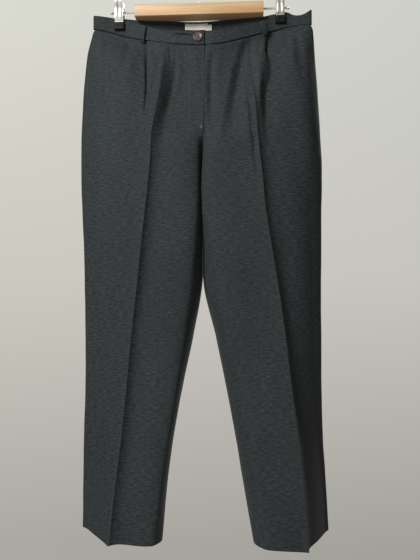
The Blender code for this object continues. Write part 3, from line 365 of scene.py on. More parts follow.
@dataclass
class Section:
    """Plan outline of one leg at one share of the way from the waist seam to the hem."""

    side: Side
    down: float
    steps: int = 40
    crotch_x: float = 6.7 * MM
    hip: tuple[float, float] = (0.1, 0.3)
    seat: tuple[float, float] = (0.12, 0.25)
    crotch: tuple[float, float] = (0.185, 0.29)
    inner_seam: tuple[float, float] = (0.285, 0.345)
    fork: tuple[float, float] = (0.47, 0.62)
    shoulder_push: float = 0.8
    softness: float = 0.2
    fly_step: float = 1.8 * MM
    outlines: dict[Face, np.ndarray] = field(init=False)

    def __post_init__(self) -> None:
        """Lays both outlines through the anchors of the section tables."""
        table = SECTION_TABLES[self.side]
        value = {name: table.at(name, self.down * 1000) * MM for name in SECTION_COLUMNS[1:]}
        at = {
            name: np.array([value[name + "_x"], value[name + "_y"]])
            for name in ("side", "crease", "turn", "seam", "back_turn", "back_crease")
        }
        to_crotch = ramp(self.down, *self.crotch)
        back_seam = np.array([value["seam_x"], value["seam_y"] + SEAM_GAP])
        if self.down < self.crotch[1]:
            apart = SEAM_GAP / 2 + SOLID_WALL / 2 * ramp(self.down, *self.seat)
            back_seam[0] = self.crotch_x * ease(self.down / self.crotch[1]) + self.side.value * apart
        at["seam"][1] += (value["centre_y"] - at["seam"][1]) * (1 - to_crotch)
        back_seam[1] += (value["back_centre_y"] - back_seam[1]) * (1 - to_crotch)
        shoulders = {
            face: self.shoulder(at["side"], crease, face, value["side_round"])
            for face, crease in ((Face.FRONT, at["crease"]), (Face.BACK, at["back_crease"]))
        }
        across = unit(shoulders[Face.FRONT] - shoulders[Face.BACK])
        below = ramp(self.down, *self.inner_seam)
        apart = ramp(self.down, *self.fork)
        inner = unit(unit(at["back_turn"] - at["turn"]) * apart + np.array([0, 1 - apart])) * below
        front = [at["side"], shoulders[Face.FRONT], at["crease"], at["turn"], at["seam"]]
        back = [at["side"], shoulders[Face.BACK], at["back_crease"], at["back_turn"], back_seam]
        self.outlines = {
            Face.FRONT: self.outline(front, across, unit(at["seam"] - at["turn"]) * (1 - below) + inner),
            Face.BACK: self.outline(back, -across, unit(back_seam - at["back_turn"]) * (1 - below) - inner),
        }
        self.settle_on_band()

    def shoulder(self, side: np.ndarray, crease: np.ndarray, face: Face, radius: float) -> np.ndarray:
        """Finds where the rounded side of the leg passes into its flat."""
        push = np.array([0, face.value * self.shoulder_push * (1 - self.down)])
        return side + unit(unit(crease - side) + push) * radius * math.sqrt(2)

    def outline(self, anchors: Sequence[np.ndarray], first: np.ndarray, last: np.ndarray) -> np.ndarray:
        """Lays one outline through its anchors.

        Args:
            anchors: Side seam, shoulder, crease, turn and inner seam.
            first: The direction at the side seam.
            last: The direction at the inner seam.

        Returns:
            The outline's points.
        """
        soft = 1 - (1 - self.softness) * ramp(self.down, *self.hip)
        share = np.linspace(0, 1, self.steps, endpoint=False)[:, None]
        stretches = []
        for i, (start, end) in enumerate(zip(anchors[:-1], anchors[1:])):
            chord, reach = unit(end - start), np.linalg.norm(end - start)
            leaving = first if i == 0 else corner_way(anchors[i - 1], start, end)
            arriving = last if i == len(anchors) - 2 else corner_way(start, end, anchors[i + 2])
            if i == 1:
                arriving = chord * (1 - soft) + arriving * soft
            if i == 2:
                leaving = chord * (1 - soft) + leaving * soft
                arriving = arriving * (1 - 0.6 * ramp(self.down, *self.seat))
            stretches.append(cubic(share, (start, end), (leaving * reach, arriving * reach)))
        return np.vstack([*stretches, anchors[-1][None]])

    def settle_on_band(self) -> None:
        """Gives both outlines the curve of the band's lower edge near the waist."""
        share = 1 - ease(self.down / 0.06)
        plan = BandPlan()
        for face, sag in ((Face.FRONT, plan.sag_seam), (Face.BACK, plan.sag_back)):
            points = self.outlines[face][self.steps:]
            on_band = face.value * band_depth(self.side, points[:, 0], sag)
            if face is Face.FRONT and self.side is Side.LEFT:
                on_band += self.fly_step * ease((FRONT_END_X + 14 * MM - points[:, 0]) / (13 * MM))
            held = np.abs(points[:, 0]) < SIDE_FOLD_X[self.side]
            points[:, 1] += np.where(held, (on_band - points[:, 1]) * share, 0)

    def runs(self, face: Face) -> np.ndarray:
        """Measures the run along an outline from its crease, below 0 towards the side seam."""
        lengths = run_along(self.outlines[face])
        return lengths - lengths[2 * self.steps]

    def read(self, face: Face, run: np.ndarray) -> tuple[np.ndarray, np.ndarray]:
        """Reads points and outward directions of an outline.

        Args:
            face: Front or back.
            run: Runs from the crease.

        Returns:
            The plan points, and the outward directions there.
        """
        runs, outline, nudge = self.runs(face), self.outlines[face], 0.4 * MM
        low, high = np.maximum(run - nudge, runs[0]), np.minimum(run + nudge, runs[-1])
        along = unit(read_line(high, runs, outline) - read_line(low, runs, outline))
        return read_line(run, runs, outline), sideways(along) * (self.side.value * face.value)


@dataclass
class Grid:
    """The middle surface of a piece of cloth: rows down it and columns across it."""

    points: np.ndarray
    outward: np.ndarray
    weave: np.ndarray

    def rim(self) -> np.ndarray:
        """Measures each point's distance from the nearest edge."""
        runs = [(run_along(self.points, axis), axis) for axis in (0, 1)]
        return np.minimum(*(np.minimum(run, np.take(run, [-1], axis=axis) - run) for run, axis in runs))

    def wall(self, name: str, thickness: float, rounding: float) -> bpy.types.Object:
        """Makes the closed piece with a wall of this thickness, rounded at its edges."""
        half = self.outward * (thickness / 2 * rounded(self.rim(), rounding, 0.03))[..., None]
        return closed_sheet(name, (self.points + half, self.points - half), self.weave)


def linked(name: str, data: bpy.types.ID) -> bpy.types.Object:
    """Puts new data into the scene as an object."""
    made = bpy.data.objects.new(name, data)
    bpy.context.scene.collection.objects.link(made)
    return made


def meshed(name: str, points: np.ndarray, edges: Sequence[Sequence[int]],
           faces: Sequence[Sequence[int]]) -> bpy.types.Object:
    """Makes a piece from its points and what joins them.

    Args:
        name: Its name.
        points: Its points.
        edges: The pairs of points that loose edges join.
        faces: The points round each face.

    Returns:
        The piece.
    """
    mesh = bpy.data.meshes.new(name)
    mesh.from_pydata(np.asarray(points, float).tolist(), edges, faces)
    return linked(name, mesh)


def closed_sheet(name: str, layers: tuple[np.ndarray, np.ndarray], weave: np.ndarray) -> bpy.types.Object:
    """Makes one closed body from the two faces of a sheet.

    Args:
        name: Its name.
        layers: Its outer and its inner face, as rows of points.
        weave: Each point's place on the cloth, in metres.

    Returns:
        The piece, with a UV map in metres of cloth.
    """
    rows, columns = weave.shape[:2]
    near = np.arange(rows * columns).reshape(rows, columns)
    far = near + rows * columns

    def strip(a: np.ndarray, b: np.ndarray) -> np.ndarray:
        """Joins two lines of points with faces."""
        return np.stack([a[:-1], a[1:], b[1:], b[:-1]], -1).reshape(-1, 4)

    quads = [np.stack([near[:-1, :-1], near[:-1, 1:], near[1:, 1:], near[1:, :-1]], -1).reshape(-1, 4)]
    quads += [np.stack([far[:-1, :-1], far[1:, :-1], far[1:, 1:], far[:-1, 1:]], -1).reshape(-1, 4)]
    quads += [strip(far[0], near[0]), strip(near[-1], far[-1])]
    quads += [strip(near[:, 0], far[:, 0]), strip(far[:, -1], near[:, -1])]
    quads = np.vstack(quads)
    points = np.vstack([layer.reshape(-1, 3) for layer in layers])
    a, b, c, d = (points[quads[:, k]] for k in range(4))
    volume = np.einsum("ij,ij->i", a, np.cross(b, c)).sum() + np.einsum("ij,ij->i", a, np.cross(c, d)).sum()
    if volume < 0:
        quads = quads[:, ::-1]
    places = np.vstack([weave.reshape(-1, 2)] * 2)[quads.reshape(-1)]
    piece = meshed(name, points, [], quads.tolist())
    piece.data.uv_layers.new(name=WEAVE_MAP).data.foreach_set("uv", places.astype(np.float32).ravel())
    piece.data.shade_smooth()
    piece.data.set_sharp_from_angle(angle=math.radians(70))
    return piece


@dataclass
class Panel:
    """One cut panel of a leg, with its middle surface worked out row by row."""

    side: Side
    face: Face
    zones: tuple[float, ...]
    divisions: tuple[int, ...]
    wall: float = 0.8 * MM
    hem_wall: float = 1.3 * MM
    hem_height: float = 40 * MM
    seam_clear: float = 0.04 * MM
    edge_zone: float = 3.2 * MM
    seam_pull: float = 2.0 * MM
    edge_curl: float = 0.5 * MM
    curl_run: float = 1.1 * MM
    crease_zone: float = 6 * MM
    crease_line: float = 0.9 * MM
    edge_steps: tuple[float, ...] = (0, 0.2, 0.5, 0.9, 1.5, 2.3)
    top_x: np.ndarray | None = field(init=False, default=None)

    def __post_init__(self) -> None:
        """Finds where each column starts on the waist seam."""
        self.top_x = self.row(0.0)[0][:, 0]

    @property
    def name(self) -> str:
        """The name of the node that the panel stands for."""
        return f"{self.face.word}_{self.side.word}"

    def shares(self) -> np.ndarray:
        """Spaces the columns over the zones, as shares of the way across, without the edge columns."""
        spaces = zip(self.zones[:-1], self.zones[1:], self.divisions)
        return np.concatenate([*(np.linspace(*space, endpoint=False) for space in spaces), [1.0]])

    def stops(self, section: Section) -> np.ndarray:
        """Places the ends of the zones."""
        runs = section.runs(self.face)
        return np.array([runs[0], -self.crease_zone, 0.0, self.crease_zone, runs[3 * section.steps], runs[-1]])

    def swing(self, down: float, share: np.ndarray) -> np.ndarray:
        """Tells how far the cloth swings back over itself; here not at all."""
        return np.zeros_like(share)

    def relief(self, down: float, run: np.ndarray, share: np.ndarray) -> np.ndarray:
        """Tells how far the cloth stands off its outline."""
        uneven = flutter(run, down, self.side.value * 2.3)
        return fold_relief(WRINKLES[(self.side, self.face)], down, run) + uneven

    def row(self, down: float) -> tuple[np.ndarray, np.ndarray, np.ndarray]:
        """Works out one row of the middle surface.

        Args:
            down: Share of the way down.

        Returns:
            Plan points, outward directions across the wall, and runs along the cloth.
        """
        section = Section(self.side, down)
        stops, edge, shares = self.stops(section), np.array(self.edge_steps) * MM, self.shares()
        stops[[0, -1]] += self.seam_clear, -self.seam_clear
        inner = stops.copy()
        inner[[0, -1]] += self.edge_zone, -self.edge_zone
        share = np.concatenate([np.zeros_like(edge), shares, np.ones_like(edge)])
        run = np.concatenate([stops[0] + edge, np.interp(shares, self.zones, inner), stops[-1] - edge[::-1]])
        run = run + self.swing(down, share)
        plan, outward = section.read(self.face, run)
        curl = np.minimum(run - stops[0], stops[-1] - run)
        lift = self.relief(down, run, share) * (0.4 + 0.6 * ease(down / 0.014))
        lift = lift - self.edge_curl * np.exp(-((curl / self.curl_run) ** 2))
        lift = lift - self.seam_pull * math.exp(-((down * 1000 / 3.0) ** 2))
        plan = plan + outward * lift[:, None]
        across = sideways(unit(np.gradient(plan, axis=0))) * (self.side.value * self.face.value)
        return plan, across, run

    def drops(self, down: float) -> np.ndarray:
        """Tells how far a row's points hang under the hang point.

        Args:
            down: The row's share of the way down; below 0 it runs up into the band.

        Returns:
            One drop for each column.
        """
        top = waist_drop(self.face, "seam", self.top_x) + SEAM_GAP
        if down < 0:
            return top + down * HEM_DROP
        top = top + (LEVEL_DROP - top) * ease(down / 0.29)
        return top + (HEM_DROP - top) * down

    def downs(self) -> np.ndarray:
        """Spaces the rows, closer together over the pleats and at the hem."""
        fine, coarse = np.arange(0, 0.19, 0.0031), np.arange(0.19, 0.9985, 0.0062)
        seam = [-0.003, -0.0015, 0.0, 0.0008, 0.0016, 0.0024]
        return np.concatenate([seam, fine[1:], coarse, [0.9988, 0.9994, 0.9998, 1.0]])

    def grid(self, downs: Sequence[float] | None = None) -> Grid:
        """Works out rows of the middle surface.

        Args:
            downs: Shares of the way down, or all of the panel's own rows.

        Returns:
            The middle surface.
        """
        rows = []
        for down in self.downs() if downs is None else downs:
            plan, across, run = self.row(max(down, 0.0))
            height = -self.drops(down)
            rows.append([np.column_stack(pair) for pair in ((plan, height), (across, 0 * run), (run, height))])
        return Grid(*(np.array(part) for part in zip(*rows)))

    def build(self) -> bpy.types.Object:
        """Makes the panel, with a turned-up hem inside its lowest part.

        Returns:
            The closed panel.
        """
        grid = self.grid()
        rim, height = grid.rim(), HEM_DROP + grid.points[..., 2]
        half = self.wall / 2 * rounded(rim, 0.5 * MM, 0.05)
        turned_up = self.hem_wall * ease((self.hem_height - height) / (1.5 * MM))
        inner = half + turned_up * np.where(height < self.hem_height, np.clip(rim / (4 * MM) * 3, 0, 1), 0)
        layers = (grid.points + grid.outward * half[..., None], grid.points - grid.outward * inner[..., None])
        return closed_sheet(f"{self.name}_cloth", layers, grid.weave)

    def down_at(self, drop: Values, column: int = -8) -> Values:
        """Finds the row at a drop."""
        downs = np.linspace(0, 0.33, 120)
        return np.interp(drop, [self.drops(down)[column] for down in downs], downs)

    def inset_spot(self, down: float, inset: float, from_side: bool = False) -> tuple[np.ndarray, np.ndarray]:
        """Finds a spot by its distance along the cloth from an upright edge.

        Args:
            down: Share of the way down.
            inset: The distance from the edge.
            from_side: From the side seam; otherwise from the centre or inner edge.

        Returns:
            The point on the middle surface, and its outward direction.
        """
        plan, across, _ = self.row(down)
        line = np.column_stack([plan, -self.drops(down), across])[::1 if from_side else -1]
        spot = read_line(inset, run_along(line[:, :2]), line)
        return spot[:3], unit(np.array([*spot[3:], 0.0]))

    def thread_spot(self, drop: float, inset: float, lift: float, from_side: bool = False) -> np.ndarray:
        """Finds where thread lies on the cloth, and its outward direction, as one row of six numbers."""
        spot, outward = self.inset_spot(self.down_at(drop), inset, from_side)
        return np.concatenate([spot + outward * (self.wall / 2 + lift), outward])

    def strip(self, across: tuple[float, float], downs: tuple[float, float, int], sink: float) -> Grid:
        """Follows part of the panel at a depth under it.

        Args:
            across: The shares at which the strip starts and ends.
            downs: The shares of the way down at its ends, and how many rows it has.
            sink: How deep its middle lies under the panel's.

        Returns:
            The strip's middle surface.
        """
        grid, shares = self.grid(np.linspace(*downs)), self.shares()
        kept = np.flatnonzero((shares >= across[0]) & (shares <= across[1])) + len(self.edge_steps)
        points, outward, weave = (part[:, kept] for part in (grid.points, grid.outward, grid.weave))
        return Grid(points - outward * sink, outward, weave)


@dataclass
class FrontPanel(Panel):
    """A front, with its knife pleat, its soft troughs and its pressed crease."""

    face: Face = Face.FRONT
    zones: tuple[float, ...] = (0, 0.3, 0.5, 0.56, 0.6, 0.64, 0.9, 1)
    divisions: tuple[int, ...] = (38, 26, 7, 8, 8, 34, 10)
    pleat_zone: float = 24 * MM
    overlap: float = 9.5 * MM
    release: float = 0.085
    crest_run: float = 24 * MM
    lee_run: float = 40 * MM
    hollow_run: float = 22 * MM
    crease_near: float = 12 * MM
    crease_back: float = 45 * MM
    tilt: float = 0.2

    def pleat(self, down: float) -> tuple[float, float]:
        """Reads the pleat's fold line."""
        table = PLEAT_TABLES[self.side]
        return table.at("offset", down * 1000) * MM, max(table.at("height", down * 1000) * MM, 0)

    def stops(self, section: Section) -> np.ndarray:
        """Places the ends of the zones: seam, pleat, pleat, crease, crease, turn, seam.

        Args:
            section: The leg's section at this row.

        Returns:
            Runs from the crease.
        """
        offset, half = self.pleat(section.down)[0], self.pleat_zone / 2
        fold_end = min(offset + half, -self.crease_zone - 2 * MM)
        return np.insert(super().stops(section), 1, [offset - half, fold_end])

    def fold_share(self, share: np.ndarray) -> np.ndarray:
        """Tells how far across the pleat's own zone each column lies."""
        return np.clip((share - self.zones[1]) / (self.zones[2] - self.zones[1]), 0, 1)

    def swing(self, down: float, share: np.ndarray) -> np.ndarray:
        """Swings the cloth over itself at the pleat, by what each column adds to its run."""
        return self.overlap * (1 - ease(down / self.release)) * np.sin(2 * np.pi * self.fold_share(share))

    def crease(self, down: float, run: np.ndarray) -> np.ndarray:
        """Presses the crease, which falls away toward +X and comes back slowly.

        Args:
            down: Share of the way down.
            run: Runs from the crease.

        Returns:
            Heights in metres.
        """
        table, past = CREASE_TABLES[self.side], -run * self.side.value
        height, depth, width = (table.at(name, down * 1000) * MM for name in CREASE_COLUMNS[1:])
        far = np.maximum(past, 0)
        falling = (height + depth) * np.exp(-far / width) - depth * np.exp(-((far / self.crease_back) ** 2))
        near = height * np.exp(np.minimum(past, 0) / self.crease_near)
        return np.where(past > 0, falling, near) + 0.06 * height * np.exp(-np.abs(run) / self.crease_line)

    def falls(self, down: float, run: np.ndarray) -> np.ndarray:
        """Adds up where the cloth falls away to one side of a line.

        Args:
            down: Share of the way down.
            run: Runs from the crease.

        Returns:
            Depths in metres.
        """
        total = np.zeros_like(run)
        for line, fade, (depth, width, back) in folds_at(FALLS[self.side], down):
            past = np.maximum((line - run) * self.side.value, 0)
            beyond = np.maximum(past - width, 0) / back
            total += depth * fade * ease(past / width) * np.exp(-(beyond**2))
        return total

    def relief(self, down: float, run: np.ndarray, share: np.ndarray) -> np.ndarray:
        """Raises the pleat, sinks the troughs and draws the crease.

        Args:
            down: Share of the way down.
            run: Runs from the crease.
            share: Shares across the panel.

        Returns:
            Heights in metres, above 0 outward.
        """
        offset, height = self.pleat(down)
        step = ease((self.fold_share(share) - 0.08) / 0.84)
        past = ease(run / self.crest_run)
        before = np.minimum(run - offset + self.pleat_zone / 2, 0)
        hollow = 0.5 * (1 - step) * np.exp(-((before / self.hollow_run) ** 2))
        lee = 0.25 * step * past * np.exp(-((run / self.lee_run) ** 2))
        lean = 1 + self.side.value * self.tilt * np.clip(run / min(offset, -1 * MM), 0, 1)
        total = height * (step * lean * (1 - past) - hollow - lee)
        total = total - fold_relief(TROUGHS[self.side], down, run) - self.falls(down, run)
        return total + self.crease(down, run) + super().relief(down, run, share)


@dataclass
class BackPanel(Panel):
    """A back, with its soft pressed crease."""

    face: Face = Face.BACK
    zones: tuple[float, ...] = (0, 0.42, 0.45, 0.48, 0.8, 1)
    divisions: tuple[int, ...] = (34, 6, 6, 24, 14)
    crease_ridge: float = 1.8 * MM
    crease_run: float = 7 * MM

    def relief(self, down: float, run: np.ndarray, share: np.ndarray) -> np.ndarray:
        """Adds the pressed crease below the seat to the panel's relief."""
        pressed = np.exp(-np.abs(run) / self.crease_run) + 0.1 * np.exp(-np.abs(run) / self.crease_line)
        return self.crease_ridge * ramp(down, 0.25, 0.4) * pressed + super().relief(down, run, share)


def folds_at(rows: Sequence[Sequence[float]], down: float) -> Iterator[tuple[float, float, list[float]]]:
    """Finds the folds that cross a row of the cloth.

    Args:
        rows: A fold in each: its offset at both ends, where it starts and ends, and its sizes.
        down: Share of the way down.

    Yields:
        Its run from the crease there, its fading from 0 to 1, and its sizes in metres.
    """
    for offset_top, offset_low, top, low, *sizes in rows:
        share = (down * 1000 - top) / (low - top)
        if 0 < share < 1:
            line = (offset_top + (offset_low - offset_top) * share) * MM
            yield line, math.sin(math.pi * share) ** 0.8, [size * MM for size in sizes]


def fold_relief(rows: Sequence[Sequence[float]], down: float, run: np.ndarray) -> np.ndarray:
    """Adds up soft folds, each fading in and out along its length.

    Args:
        rows: One fold in each, with its height or depth and its half width last.
        down: Share of the way down.
        run: Runs from the crease.

    Returns:
        Heights in metres.
    """
    total = np.zeros_like(run)
    for line, fade, (height, half_width) in folds_at(rows, down):
        total += height * fade * np.exp(-(((run - line) / half_width) ** 2))
    return total


def flutter(run: np.ndarray, down: float, phase: float) -> np.ndarray:
    """Gives hanging cloth its slight unevenness.

    Args:
        run: Runs from the crease.
        down: Share of the way down.
        phase: Tells one panel from another.

    Returns:
        Heights in metres.
    """
    across, length = run / (23 * MM), down * 31
    waves = np.sin(across + 2.1 * np.sin(length * 0.41 + phase) + phase)
    waves += 0.6 * np.sin(across * 2.3 - length * 0.7 + 1.7 * np.sin(length * 0.9 + 2 * phase))
    waves += 0.35 * np.sin(length * 2.9 + across * 0.8 + phase)
    return 0.22 * MM * waves * ease(down / 0.05)


def outward_of(points: np.ndarray, facing: np.ndarray) -> np.ndarray:
    """Finds the directions across a surface of rows and columns."""
    normal = unit(np.cross(np.gradient(points, axis=0), np.gradient(points, axis=1)))
    return normal * np.where((normal * facing).sum(-1, keepdims=True) < 0, -1, 1)


def run_map(points: np.ndarray) -> np.ndarray:
    """Measures a surface's own place along both ways of its cloth, across and down."""
    return np.stack([run_along(points, 1), -run_along(points, 0)], -1)


@dataclass
class Waistband:
    """One half of the waistband, from its front end round the side fold to the back."""

    side: Side
    wall: float = BAND_WALL
    underlap_x: float = -20 * MM
    underlap_step: float = 2.95 * MM
    step_start: float = 22 * MM
    step_run: float = 21 * MM
    spacing: float = 2.6 * MM
    pucker: float = 0.16 * MM
    tuck_x: tuple[float, float] = (-56 * MM, -6 * MM)
    tuck_drops: tuple[float, float] = (139 * MM, 144 * MM)
    tuck_width: float = 2.4 * MM
    tuck_depth: float = 4.6 * MM

    def station(self, face: Face, x: Values, level: Values) -> np.ndarray:
        """Finds the band's middle.

        Args:
            face: Front or back.
            x: Where across, in metres.
            level: 0 at the waist seam, 1 at the top edge.

        Returns:
            Points in space.
        """
        drop = waist_drop(face, "seam", x) * (1 - level) + waist_drop(face, "top", x) * level
        plan = BandPlan()
        if face is Face.BACK:
            return np.stack([x, band_depth(self.side, x, plan.sag_back), -drop], -1)
        y = -band_depth(self.side, x, plan.sag_seam * (1 - level) + plan.sag_top * level)
        if self.side is Side.LEFT:
            y = y + self.underlap_step * ease((FRONT_END_X + self.step_start - x) / self.step_run)
        return np.stack([x, y, -drop], -1)

    def path(self) -> list[tuple[Face, float]]:
        """Lists the stations round this half.

        Returns:
            Each station's face and its x.
        """
        sign, fold = self.side.value, SIDE_FOLD_X[self.side]
        front_end = FRONT_END_X if self.side is Side.RIGHT else self.underlap_x
        ends = np.array([0, 0.2, 0.5, 0.9, 1.4]) * MM
        front = np.linspace(front_end, sign * fold, int(abs(sign * fold - front_end) / self.spacing))
        back = np.linspace(sign * fold, sign * 0.08 * MM, int(fold / self.spacing))
        turns = np.radians(np.linspace(0, 90, 6)[1:])
        rounding = sign * (fold + BandPlan.side_radius * np.stack([np.sin(turns), np.cos(turns)]))
        front = [*(front[0] + sign * ends), *front[1:], *rounding[0]]
        back = [*rounding[1, :-1], *back[:-1], *(back[-1] + sign * ends[::-1])]
        return [(Face.FRONT, x) for x in front] + [(Face.BACK, x) for x in back]

    def build(self) -> bpy.types.Object:
        """Makes the band's half as one soft, slightly puckered strip.

        Returns:
            The piece.
        """
        edge = np.array([0, 0.15, 0.4, 0.8, 1.3]) * MM
        columns = []
        for face, x in self.path():
            height = waist_drop(face, "seam", x) - waist_drop(face, "top", x)
            levels = np.concatenate([edge / height, np.linspace(0, 1, 26)[1:-1], 1 - edge[::-1] / height])
            columns.append(self.station(face, np.full_like(levels, x), levels))
        points = np.stack(columns, 1)
        along = np.gradient(points, axis=1)
        outward = np.stack([-along[..., 1], along[..., 0], np.zeros(along.shape[:2])], -1)
        grid = Grid(points, unit(outward) * -self.side.value, run_map(points))
        across, up = grid.weave[..., 0] / MM, grid.weave[..., 1] / MM
        near_seam = np.exp(-(np.linspace(0, 1, len(points)) / 0.22) ** 2)[:, None]
        waves = np.sin(across / 3.1) + 0.8 * np.sin(across / 7.7 + 1.3)
        broad = np.sin(across / 19 + 2.0 * np.sin(up / 14))
        lift = self.pucker * (near_seam * waves + 0.7 * broad) - self.pull(points)
        grid.points = points + grid.outward * (lift * ease(np.clip(grid.rim() / (2 * MM), 0, 1)))[..., None]
        return grid.wall(f"waistband_{self.side.word}_cloth", self.wall, 1.1 * MM)

    def pull(self, points: np.ndarray) -> np.ndarray:
        """Sinks the tuck that the button pulls into the right front.

        Args:
            points: The band's middle.

        Returns:
            Depths in metres.
        """
        start, end = self.tuck_x
        share = (points[..., 0] - start) / (end - start)
        if self.side is Side.LEFT:
            return np.zeros_like(share)
        line = self.tuck_drops[0] + (self.tuck_drops[1] - self.tuck_drops[0]) * share
        below = (-points[..., 2] - line) / self.tuck_width
        shape = np.exp(-np.where(below > 0, 1.7 * below, 0.9 * below) ** 2)
        inside = (share > 0) & (share < 1) & (points[..., 1] < 0)
        return np.where(inside, self.tuck_depth * np.sin(np.pi * np.clip(share, 0, 1)) ** 0.8 * shape, 0.0)


@dataclass
class BeltLoop:
    """A strip of cloth bowed over the band, caught at its top edge and under the waist seam."""

    name: str
    band: Waistband
    panel: Panel
    x: float
    lean: float = 0.0
    width: float = 9.5 * MM
    wall: float = 1.4 * MM
    tail: float = 7.5 * MM

    def reach(self, x: float, drop: float) -> float:
        """Measures how far the panel stands off under the seam.

        Args:
            x: Where across.
            drop: How far under the hang point.

        Returns:
            The plan distance in metres.
        """
        top = waist_drop(self.panel.face, "seam", x) + SEAM_GAP
        plan = self.panel.row((drop - top) / (HEM_DROP - top))[0]
        return float(np.abs(plan[np.abs(plan[:, 0] - x) < 2 * MM, 1]).max())

    def build(self) -> bpy.types.Object:
        """Makes the loop, with its edge stitching pressed in.

        Returns:
            The piece.
        """
        face, facing = self.panel.face, self.panel.face.value
        shares = np.array([0, 0.02, 0.05, 0.1, 0.16, 0.22, 0.35, 0.5, 0.65, 0.78, 0.84, 0.9, 0.95, 0.98, 1])
        slope = self.band.station(face, self.x + MM, 0.5) - self.band.station(face, self.x - MM, 0.5)
        outward = unit(np.array([-facing * slope[1] / slope[0], facing, 0.0]))
        close = BAND_WALL / 2 + self.wall / 2 + SEAM_GAP
        rows = []
        for level, lift in ((0.97, 0.3), (0.88, 1.6), (0.7, 2.9), (0.4, 3.4), (0.12, 3.4), (0, 2.4)):
            x = self.x + self.lean * (1 - level) + (shares - 0.5) * self.width
            rows.append(self.band.station(face, x, np.full_like(x, level)) + outward * (close + lift * MM))
        last, knee, foot = rows.pop(), [], []
        for point in last[::7]:
            reach = self.reach(point[0], -point[2] + self.tail) + (self.panel.wall + self.wall) / 2 + 0.2 * MM
            foot.append((point[0], facing * reach, point[2] - self.tail))
            knee.append((point[0], facing * max(reach, abs(point[1])), point[2] - 0.25 * self.tail))
        rows += [read_line(shares, shares[::7], np.array(line)) for line in (knee, foot)]
        points = smooth_rows(np.array(rows), 46)
        across = outward_of(points, np.array([0, facing, 0]))
        groove = np.exp(-(((np.abs(shares - 0.5) - 0.34) / 0.04) ** 2)) * 0.18 * MM
        points = points - across * groove[None, :, None]
        return Grid(points, across, run_map(points)).wall(f"{self.name}_cloth", self.wall, 0.7 * MM)


@dataclass
class Labels:
    """The bare woven label inside the centre of the back band, and the tab beside it."""

    bands: dict[Side, Waistband]
    wall: float = 0.8 * MM
    columns: int = 44

    def build(self, name: str, x: tuple[float, float], levels: tuple[float, float],
              lift: float) -> bpy.types.Object:
        """Makes one of them, with a pressed-in stitch line round its edge.

        Args:
            name: The node that it stands for.
            x: Its left and right ends, in millimetres.
            levels: Its lower and upper edges on the band.
            lift: How far it lies over the other one.

        Returns:
            The piece.
        """
        across = np.linspace(x[0], x[1], self.columns) * MM
        rows = []
        for level in np.linspace(levels[1], levels[0], 22):
            halves = {side: band.station(Face.BACK, across, level) for side, band in self.bands.items()}
            rows.append(np.where(across[:, None] > 0, halves[Side.LEFT], halves[Side.RIGHT]))
        points = np.array(rows)
        points[..., 1] -= BAND_WALL / 2 + SEAM_GAP + self.wall / 2 + lift
        points[..., 1] -= 0.25 * MM * np.sin(across / (9 * MM))[None, :]
        outward = np.zeros_like(points)
        outward[..., 1] = -1
        rim = Grid(points, outward, points[..., :2]).rim()
        points[..., 1] += 0.15 * MM * np.exp(-(((rim - 1.4 * MM) / (0.5 * MM)) ** 2))
        return Grid(points, outward, run_map(points)).wall(f"{name}_woven", self.wall, 0.4 * MM)


def alone(piece: bpy.types.Object) -> None:
    """Selects one piece and nothing else.

    Args:
        piece: The piece.
    """
    bpy.ops.object.select_all(action="DESELECT")
    piece.select_set(True)
    bpy.context.view_layer.objects.active = piece


def started(name: str, primitive: Callable[..., set[str]], **sizes: object) -> bpy.types.Object:
    """Adds a primitive with its place and size in its mesh.

    Args:
        name: Its name.
        primitive: The operator that adds it.
        sizes: What the operator is given.

    Returns:
        The primitive.
    """
    bpy.ops.object.select_all(action="DESELECT")
    primitive(**sizes)
    piece = bpy.context.active_object
    piece.name = piece.data.name = name
    alone(piece)
    bpy.ops.object.transform_apply(location=True, rotation=True, scale=True)
    return piece


def block(name: str, centre: Sequence[float], size: Sequence[float]) -> bpy.types.Object:
    """Adds a box."""
    return started(name, bpy.ops.mesh.primitive_cube_add, size=1, location=centre, scale=size)


def pin(name: str, centre: Sequence[float], radius: float, length: float, vertices: int = 32,
        upright: bool = False) -> bpy.types.Object:
    """Adds a round pin along X, or upright."""
    turn = (0, 0 if upright else math.pi / 2, 0)
    return started(name, bpy.ops.mesh.primitive_cylinder_add, location=centre, rotation=turn, radius=radius,
                   depth=length, vertices=vertices)


@contextmanager
def editing(piece: bpy.types.Object, action: str = "SELECT") -> Iterator[None]:
    """Opens a piece for mesh operators, with all or none of it selected.

    Args:
        piece: The piece.
        action: SELECT or DESELECT.

    Yields:
        Nothing.
    """
    alone(piece)
    bpy.ops.object.mode_set(mode="EDIT")
    bpy.ops.mesh.select_all(action=action)
    yield
    bpy.ops.object.mode_set(mode="OBJECT")


def closed_up(piece: bpy.types.Object, angle: float) -> bpy.types.Object:
    """Welds a piece's doubled points, turns its faces outward and shades it smooth up to an angle."""
    with editing(piece):
        bpy.ops.mesh.remove_doubles(threshold=1e-6)
        bpy.ops.mesh.normals_make_consistent(inside=False)
    return smoothed(piece, angle)


def worked(piece: bpy.types.Object, kind: str, **settings: object) -> bpy.types.Object:
    """Adds a modifier and applies it.

    Args:
        piece: The piece.
        kind: The modifier's type.
        settings: Its settings.

    Returns:
        The same piece.
    """
    alone(piece)
    modifier = piece.modifiers.new(kind.title(), kind)
    for key, value in settings.items():
        setattr(modifier, key, value)
    bpy.ops.object.modifier_apply(modifier=modifier.name)
    return piece


